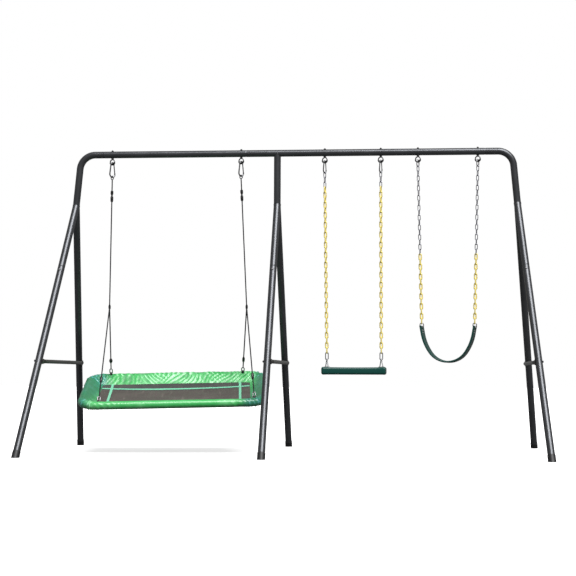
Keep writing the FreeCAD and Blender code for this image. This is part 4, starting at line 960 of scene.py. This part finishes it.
class SWING_OT_mat(bpy.types.Operator):
    """Makes the sagging mat and the straps sewn on it"""

    bl_idname = "swing.mat"
    bl_label = "Mat and straps"

    def execute(self, context):
        colours = context.scene.swing_colours
        shape = bmesh.new()
        bmesh.ops.create_grid(shape, x_segments=120, y_segments=70, size=1.0)
        sheet = shape.loops.layers.uv.new("UVMap")
        core_x, core_y = MAT_X - MAT_CORNER, MAT_Y - MAT_CORNER
        for vert in shape.verts:
            x, y = vert.co.x * MAT_X, vert.co.y * MAT_Y
            out = Vector((x - held(x, -core_x, core_x), y - held(y, -core_y, core_y)))
            if out.length > 1e-9 and abs(x) > core_x and abs(y) > core_y:
                square = max(abs(out.x), abs(out.y))
                out = out.normalized() * square
                x, y = math.copysign(core_x, x) + out.x, math.copysign(core_y, y) + out.y
            vert.co = (x, y, mat_height(x, y))
        for face in shape.faces:
            for loop in face.loops:
                loop[sheet].uv = (loop.vert.co.x, loop.vert.co.y)
        bmesh.ops.solidify(shape, geom=shape.faces[:], thickness=0.0016)
        move(shape, PLATFORM)
        # the pale colour stands for painted highlight and sheen on the creases, and for dust
        cloth = jumping_mat("mat_fabric", tuple(colours.mat), (0.150, 0.118, 0.108))
        mat = finished("mat_cloth", shape, cloth, "platform_swing", "mat_fabric", "jump_mat", angle=60)
        straps = bmesh.new()
        sheet = straps.loops.layers.uv.new("UVMap")
        for sign in (-1, 1):
            y, x = sign * STRAP_Y, sign * STRAP_X
            end_x, end_y = MAT_X - 0.010, MAT_Y - 0.010
            band(straps, sheet, ((-end_x, y), (end_x, y)), STRAP_WIDTH, 0.0016, 80)
            band(straps, sheet, ((x, -end_y), (x, end_y)), CROSS_WIDTH, 0.0030, 48)
        outward_faces(straps)
        bmesh.ops.solidify(straps, geom=straps.faces[:], thickness=0.0014)
        move(straps, PLATFORM)
        mint = webbing("webbing", tuple(colours.webbing))
        finished("mat_straps", straps, mint, "platform_swing", "webbing", "webbing_straps", angle=60)
        return {"FINISHED"}


# ---------------------------------------------------------------- chains


def link_mesh(wire, pitch, sides=8, bow_steps=7):
    """One long link in the XZ plane, hanging from its top at z = 0 down along +Z."""
    shape = bmesh.new()
    high, low = pitch + LINK_SPARE - LINK_BOW, LINK_BOW
    front = ring_start(shape, wire, sides, (LINK_BOW, 0, low), Z_AXIS)
    bow = (-Y_AXIS, math.pi, bow_steps)
    down, up = ((0, 0, high - low), 2), ((0, 0, low - high), 2)
    sweep(shape, front, [down, ((0, 0, high), *bow), up, ((0, 0, low), *bow)])
    merged(shape)
    outward_faces(shape)
    return mesh_of("link", shape)


def hang_chain(first, last, pitch, count, first_turn, chosen, mesh):
    """The chosen links of a chain, each a quarter turn from the last."""
    shape = bmesh.new()
    first, last = Vector(first), Vector(last)
    down = (last - first).normalized()
    for index in chosen:
        turn = math.radians(first_turn * (1 - index / (count - 1)) + 90 * index)
        place = Matrix.Translation(first + down * index * pitch)
        place = place @ toward(down, (math.cos(turn), -math.sin(turn), 0))
        before = len(shape.verts)
        shape.from_mesh(mesh)
        shape.verts.ensure_lookup_table()
        move(shape, place, shape.verts[before:])
    return shape


CHAINS = {
    # middle, half spacing and height above, the same below, pitch, links, first coated link, first turn
    "bench": (0.433, 0.2065, 2.06275, 0.445, 0.1990, 0.726, 0.03694, 36, 3, 24),
    "belt": (1.131, 0.2185, 2.10275, 1.131, 0.1920, 0.941, 0.0361, 32, 18, 28),
}


class SWING_OT_chains(bpy.types.Operator):
    """Hangs the chains: bare links above, coated links below"""

    bl_idname = "swing.chains"
    bl_label = "Chains"

    def execute(self, context):
        colours, sizes = context.scene.swing_colours, context.scene.swing_sizes
        coating = coated_links("chain_coating", tuple(colours.chain))
        plated = steel("chain_steel", (0.36, 0.36, 0.40), 0.34)
        for swing, (over, wide, top, under, narrow, low, pitch, count, coated, turn) in CHAINS.items():
            bare_link, coated_link = link_mesh(sizes.bare, pitch), link_mesh(sizes.coating, pitch)
            for side, sign in (("left", -1), ("right", 1)):
                ends = (over + sign * wide, 0, top), (under + sign * narrow, 0, low)
                body, node = swing + "_hanger", f"{swing}_chain_{side}"
                bare = ("_bare", plated, range(coated), bare_link)
                dipped = ("_coated", coating, range(coated, count), coated_link)
                for ending, finish, chosen, link in (bare, dipped):
                    shape = hang_chain(*ends, pitch, count, turn, chosen, link)
                    finished(node + ending, shape, finish, body, "chain", node, angle=60, outward=False)
        return {"FINISHED"}


# ---------------------------------------------------------------- bench seat

# the dip along the bench, how proud its end rims are and where they start, and its ribs
BENCH_DIP, BENCH_RIM, BENCH_RIM_X, BENCH_HALF = 0.0026, 0.0016, 0.2185, 0.235
BENCH_CUTS = (-0.219, -0.213, -0.16, -0.08, 0.0, 0.08, 0.16, 0.213, 0.219)
BENCH_RIBS, RIB_THICK, RIB_HIGH = (-0.15, -0.075, 0.0, 0.075, 0.15), 0.004, 0.030


class SWING_OT_bench(bpy.types.Operator):
    """Makes the moulded bench seat: rounded, with raised end rims and a ribbed hollow underneath"""

    bl_idname = "swing.bench"
    bl_label = "Bench seat"

    def execute(self, context):
        colours = context.scene.swing_colours
        low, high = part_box("bench_seat")
        size, middle = high - low, (low + high) / 2
        shape = bmesh.new()
        bmesh.ops.create_cube(shape, size=1.0)
        bmesh.ops.scale(shape, vec=size, verts=shape.verts)
        bevel = {"offset": 0.015, "affect": "EDGES", "segments": 6, "profile": 0.5, "material": -1}
        bmesh.ops.bevel(shape, geom=shape.edges[:], **bevel)
        level = [face for face in shape.faces if face.normal.z < -0.99]
        under = max(level, key=lambda face: face.calc_area())
        bmesh.ops.inset_individual(shape, faces=[under], thickness=0.004, depth=0.0)
        bmesh.ops.translate(shape, vec=(0, 0, 0.034), verts=under.verts)
        for place in BENCH_CUTS:
            geometry = shape.verts[:] + shape.edges[:] + shape.faces[:]
            bmesh.ops.bisect_plane(shape, geom=geometry, plane_co=(place, 0, 0), plane_no=X_AXIS)
        for vert in shape.verts:
            dip = BENCH_DIP * (1 - (vert.co.x / BENCH_HALF) ** 2)
            rim = BENCH_RIM if abs(vert.co.x) > BENCH_RIM_X else 0.0
            if vert.co.z > 0.0:
                vert.co.z += rim - dip
            elif vert.co.z < -0.02:
                vert.co.z -= rim * 0.5
            if abs(vert.co.y) > 0.078:
                vert.co.y += math.copysign(rim, vert.co.y)
        for x in BENCH_RIBS:
            rib = bmesh.ops.create_cube(shape, size=1.0)["verts"]
            bmesh.ops.scale(shape, vec=(RIB_THICK, size.y - 0.034, RIB_HIGH), verts=rib)
            bmesh.ops.translate(shape, vec=(x, 0, -0.010), verts=rib)
        bmesh.ops.translate(shape, vec=middle, verts=shape.verts)
        green = moulded("seat_plastic", tuple(colours.seat), 0.34, 700, 0.0002, 0.15, 0.35)
        finished("bench_seat_moulding", shape, green, "bench", "seat_plastic", "bench_seat", angle=40)
        return {"FINISHED"}


# ---------------------------------------------------------------- belt

BELT_LOW, BELT_X = 0.660, 1.131
BELT_BOTTOM, BELT_SIDE, BELT_THICK = 0.1602, 0.350, 0.011
BELT_KNEE, BELT_SHOULDER = math.radians(55), math.radians(80)
BELT_END_Z, BELT_SKEW = 0.9263, 0.150
GROMMET_X, GROMMET_HOLE = 0.192, 0.0119


def belt_section(shape):
    """The belt's section at its lowest point, thin in the middle and beaded at the edges."""
    near = [(0.0, 0.15), (0.025, 0.16), (0.050, 0.15), (0.056, 0.02), (0.062, -0.12), (0.068, 0.05)]
    near += [(0.070, 0.5)]
    half = near + [(y, 1 - share) for y, share in reversed(near[:-1])]
    round_all = half + [(-y, share) for y, share in reversed(half[1:-1])]
    points = [shape.verts.new((0, y, BELT_LOW + share * BELT_THICK)) for y, share in round_all]
    edges = [shape.edges.new(pair) for pair in zip(points, points[1:] + points[:1])]
    return points + edges


def belt_centres():
    """Centres of the bottom and side arcs, the end of the side arc and the way the belt runs on."""
    bottom = Vector((0, 0, BELT_LOW + BELT_BOTTOM))
    knee = Vector((math.sin(BELT_KNEE), 0, -math.cos(BELT_KNEE)))
    side = bottom + knee * (BELT_BOTTOM - BELT_SIDE)
    shoulder = side + Vector((math.sin(BELT_SHOULDER), 0, -math.cos(BELT_SHOULDER))) * BELT_SIDE
    run = Vector((math.cos(BELT_SHOULDER), 0, math.sin(BELT_SHOULDER)))
    return bottom, side, shoulder, run


class SWING_OT_belt(bpy.types.Operator):
    """Makes the flexible belt with beaded edges, ring holes, grommets and rivets"""

    bl_idname = "swing.belt"
    bl_label = "Belt"

    def execute(self, context):
        colours = context.scene.swing_colours
        bottom, side, shoulder, run = belt_centres()
        shape = bmesh.new()
        front = belt_section(shape)
        straight = run * ((BELT_END_Z - shoulder.z) / run.z)
        arcs = [(bottom, -Y_AXIS, BELT_KNEE, 24), (side, -Y_AXIS, BELT_SHOULDER - BELT_KNEE, 14)]
        ends = sweep(shape, front, [*arcs, (straight, 8)])
        capped(shape, [item for item in ends if isinstance(item, bmesh.types.BMEdge)])
        geometry = shape.verts[:] + shape.edges[:] + shape.faces[:]
        bmesh.ops.mirror(shape, geom=geometry, axis="X", merge_dist=1e-5)
        merged(shape)
        skew = Matrix.Translation((BELT_X, 0, 0))
        skew[0][1] = BELT_SKEW
        move(shape, skew)
        rubber = moulded("belt_rubber", shaded(colours.seat, 0.8), 0.42, 500, 0.0003, 0.1, 0.3)
        belt = finished("belt_strap", shape, rubber, "belt", "belt_rubber", "belt_seat", angle=50)
        cut_ring_holes(belt)
        coat_nodes(steel("grommet", (0.16, 0.17, 0.17), 0.4), "belt_grommets")
        self.rivets(shoulder, run)
        return {"FINISHED"}

    def rivets(self, shoulder, run):
        """Rivet heads below each grommet, on both faces of the belt."""
        shape = bmesh.new()
        out = Vector((run.z, 0, -run.x))
        dome = [(0.0058, -0.001), (0.0056, 0.0006), (0.0042, 0.0021), (0.0018, 0.0028), (0, 0.0029)]
        for sign in (-1, 1):
            for down, y in ((0.034, -0.030), (0.034, 0.030), (0.050, 0.0)):
                spot = shoulder + run * ((BELT_END_Z - down - shoulder.z) / run.z)
                for face, depth in ((1, -0.16 * BELT_THICK), (-1, -0.84 * BELT_THICK)):
                    place = spot + out * depth + Vector((0, y, 0))
                    place.x = BELT_X + sign * place.x + BELT_SKEW * place.y
                    aim = Vector((sign * out.x, 0, out.z)) * face
                    turned_piece(shape, dome, Matrix.Translation(place) @ toward(aim, Y_AXIS), 14)
        metal = steel("rivet_steel", (0.33, 0.34, 0.34), 0.35)
        finished("belt_rivets", shape, metal, "belt", "grommet", angle=50)


def cut_ring_holes(belt):
    """Opens the belt for its two grommets."""
    cutter_shape = bmesh.new()
    low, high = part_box("belt_grommets")
    centre_z = (low.z + high.z) / 2
    hole = {"cap_ends": True, "segments": 32, "depth": 0.06}
    hole |= {"radius1": GROMMET_HOLE, "radius2": GROMMET_HOLE}
    for sign in (-1, 1):
        place = Matrix.Translation((BELT_X + sign * GROMMET_X, 0, centre_z))
        place = place @ Matrix.Rotation(math.pi / 2 + sign * (math.pi / 2 - BELT_SHOULDER), 4, "Y")
        bmesh.ops.create_cone(cutter_shape, matrix=place, **hole)
    cutter = linked("cutter", mesh_of("cutter", cutter_shape))
    opening = belt.modifiers.new("holes", "BOOLEAN")
    opening.operation, opening.object, opening.solver = "DIFFERENCE", cutter, "EXACT"
    bpy.context.view_layer.update()
    opened = belt.evaluated_get(bpy.context.evaluated_depsgraph_get())
    result = bpy.data.meshes.new_from_object(opened)
    belt.modifiers.clear()
    belt.data = result
    bpy.data.objects.remove(cutter)


# ---------------------------------------------------------------- stage


class SWING_OT_stage(bpy.types.Operator):
    """Sets the floor, the soft studio light and the camera"""

    bl_idname = "swing.stage"
    bl_label = "Stage"

    def execute(self, context):
        scene = context.scene
        scene.view_settings.view_transform = "Standard"
        shape = bmesh.new()
        bmesh.ops.create_grid(shape, x_segments=1, y_segments=1, size=60.0)
        floor = linked("floor", mesh_of("floor", shape))
        flag = linked("flag", floor.data.copy())
        floor.data.materials.append(studio_floor("floor", (0.90, 0.90, 0.90), 0.66))
        flag.data.materials.append(studio_floor("flag", (0.12, 0.12, 0.12), 0.0))
        # the camera sees the white floor, and the object is lit and mirrored by the dark flag below it
        floor.visible_diffuse = floor.visible_glossy = floor.visible_shadow = False
        flag.location.z, flag.visible_camera = -0.02, False
        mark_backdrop(floor, flag)
        self.backdrop(scene)
        self.key(azimuth=26, elevation=55, width=42, power=4.2)
        self.camera(scene)
        return {"FINISHED"}

    def backdrop(self, scene):
        """White to the camera, dimmer as a light, so that the round tubes keep their shading."""
        world = bpy.data.worlds.new("studio")
        world.use_nodes = True
        tree = world.node_tree
        sky, seen = tree.nodes["Background"], tree.nodes.new("ShaderNodeBackground")
        for shader, strength in ((sky, 0.27), (seen, 1.0)):
            shader.inputs["Color"].default_value = (1.0, 1.0, 1.0, 1.0)
            shader.inputs["Strength"].default_value = strength
        ray = tree.nodes.new("ShaderNodeLightPath")
        mix = tree.nodes.new("ShaderNodeMixShader")
        tree.links.new(ray.outputs["Is Camera Ray"], mix.inputs[0])
        tree.links.new(sky.outputs[0], mix.inputs[1])
        tree.links.new(seen.outputs[0], mix.inputs[2])
        tree.links.new(mix.outputs[0], tree.nodes["World Output"].inputs["Surface"])
        scene.world = world

    def key(self, azimuth, elevation, width, power):
        """One broad soft light, far away in front: azimuth towards +X from the front."""
        data = bpy.data.lights.new("key", "SUN")
        data.angle, data.energy = math.radians(width), power
        turn, rise = math.radians(azimuth), math.radians(elevation)
        level = math.cos(rise)
        aim = Vector((math.sin(turn) * level, -math.cos(turn) * level, math.sin(rise)))
        linked("key", data).matrix_world = toward(aim)

    def camera(self, scene):
        yaw, pitch, roll = (math.radians(angle) for angle in (4.790, 3.475, 0.1706))
        level = Vector((math.cos(yaw), math.sin(yaw), 0))
        ahead = Z_AXIS.cross(level) * math.cos(pitch) + Z_AXIS * math.sin(pitch)
        upright = level.cross(ahead)
        right = level * math.cos(roll) + upright * math.sin(roll)
        above = upright * math.cos(roll) - level * math.sin(roll)
        data = bpy.data.cameras.new("camera")
        data.lens, data.sensor_width, data.shift_x = 90.23, 36.0, -30 / 576
        data.clip_end = 200.0
        item = linked("camera", data)
        place = Matrix((right, above, -ahead)).transposed().to_4x4()
        item.matrix_world = Matrix.Translation((1.06289, -10.54654, 0.56273)) @ place
        scene.camera = item


# ---------------------------------------------------------------- add-on


OPERATORS = (
    SWING_OT_stage,
    SWING_OT_frame,
    SWING_OT_hooks,
    SWING_OT_ropes,
    SWING_OT_rim,
    SWING_OT_mat,
    SWING_OT_chains,
    SWING_OT_bench,
    SWING_OT_belt,
)


class SWING_PT_panel(bpy.types.Panel):
    """Lists the pieces of the swing set"""

    bl_label = "Swing set"
    bl_idname = "SWING_PT_panel"
    bl_space_type = "VIEW_3D"
    bl_region_type = "UI"
    bl_category = "Swing set"

    def draw(self, context):
        for settings in (context.scene.swing_colours, context.scene.swing_sizes):
            for name in settings.bl_rna.properties.keys():
                if name not in ("rna_type", "name"):
                    self.layout.prop(settings, name)
        for operator in OPERATORS:
            self.layout.operator(operator.bl_idname)


CLASSES = (SwingColours, SwingSizes, *OPERATORS, SWING_PT_panel)


def register():
    for item in CLASSES:
        bpy.utils.register_class(item)
    bpy.types.Scene.swing_colours = PointerProperty(type=SwingColours)
    bpy.types.Scene.swing_sizes = PointerProperty(type=SwingSizes)


def unregister():
    del bpy.types.Scene.swing_sizes
    del bpy.types.Scene.swing_colours
    for item in reversed(CLASSES):
        bpy.utils.unregister_class(item)


def main():
    register()
    for operator in OPERATORS:
        getattr(bpy.ops.swing, operator.bl_idname.split(".")[1])()
    boxes = {"cad": CAD_BOX, "visual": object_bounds()}
    boxes = {name: [list(corner) for corner in box] for name, box in boxes.items()}


if __name__ == "__main__":
    main()
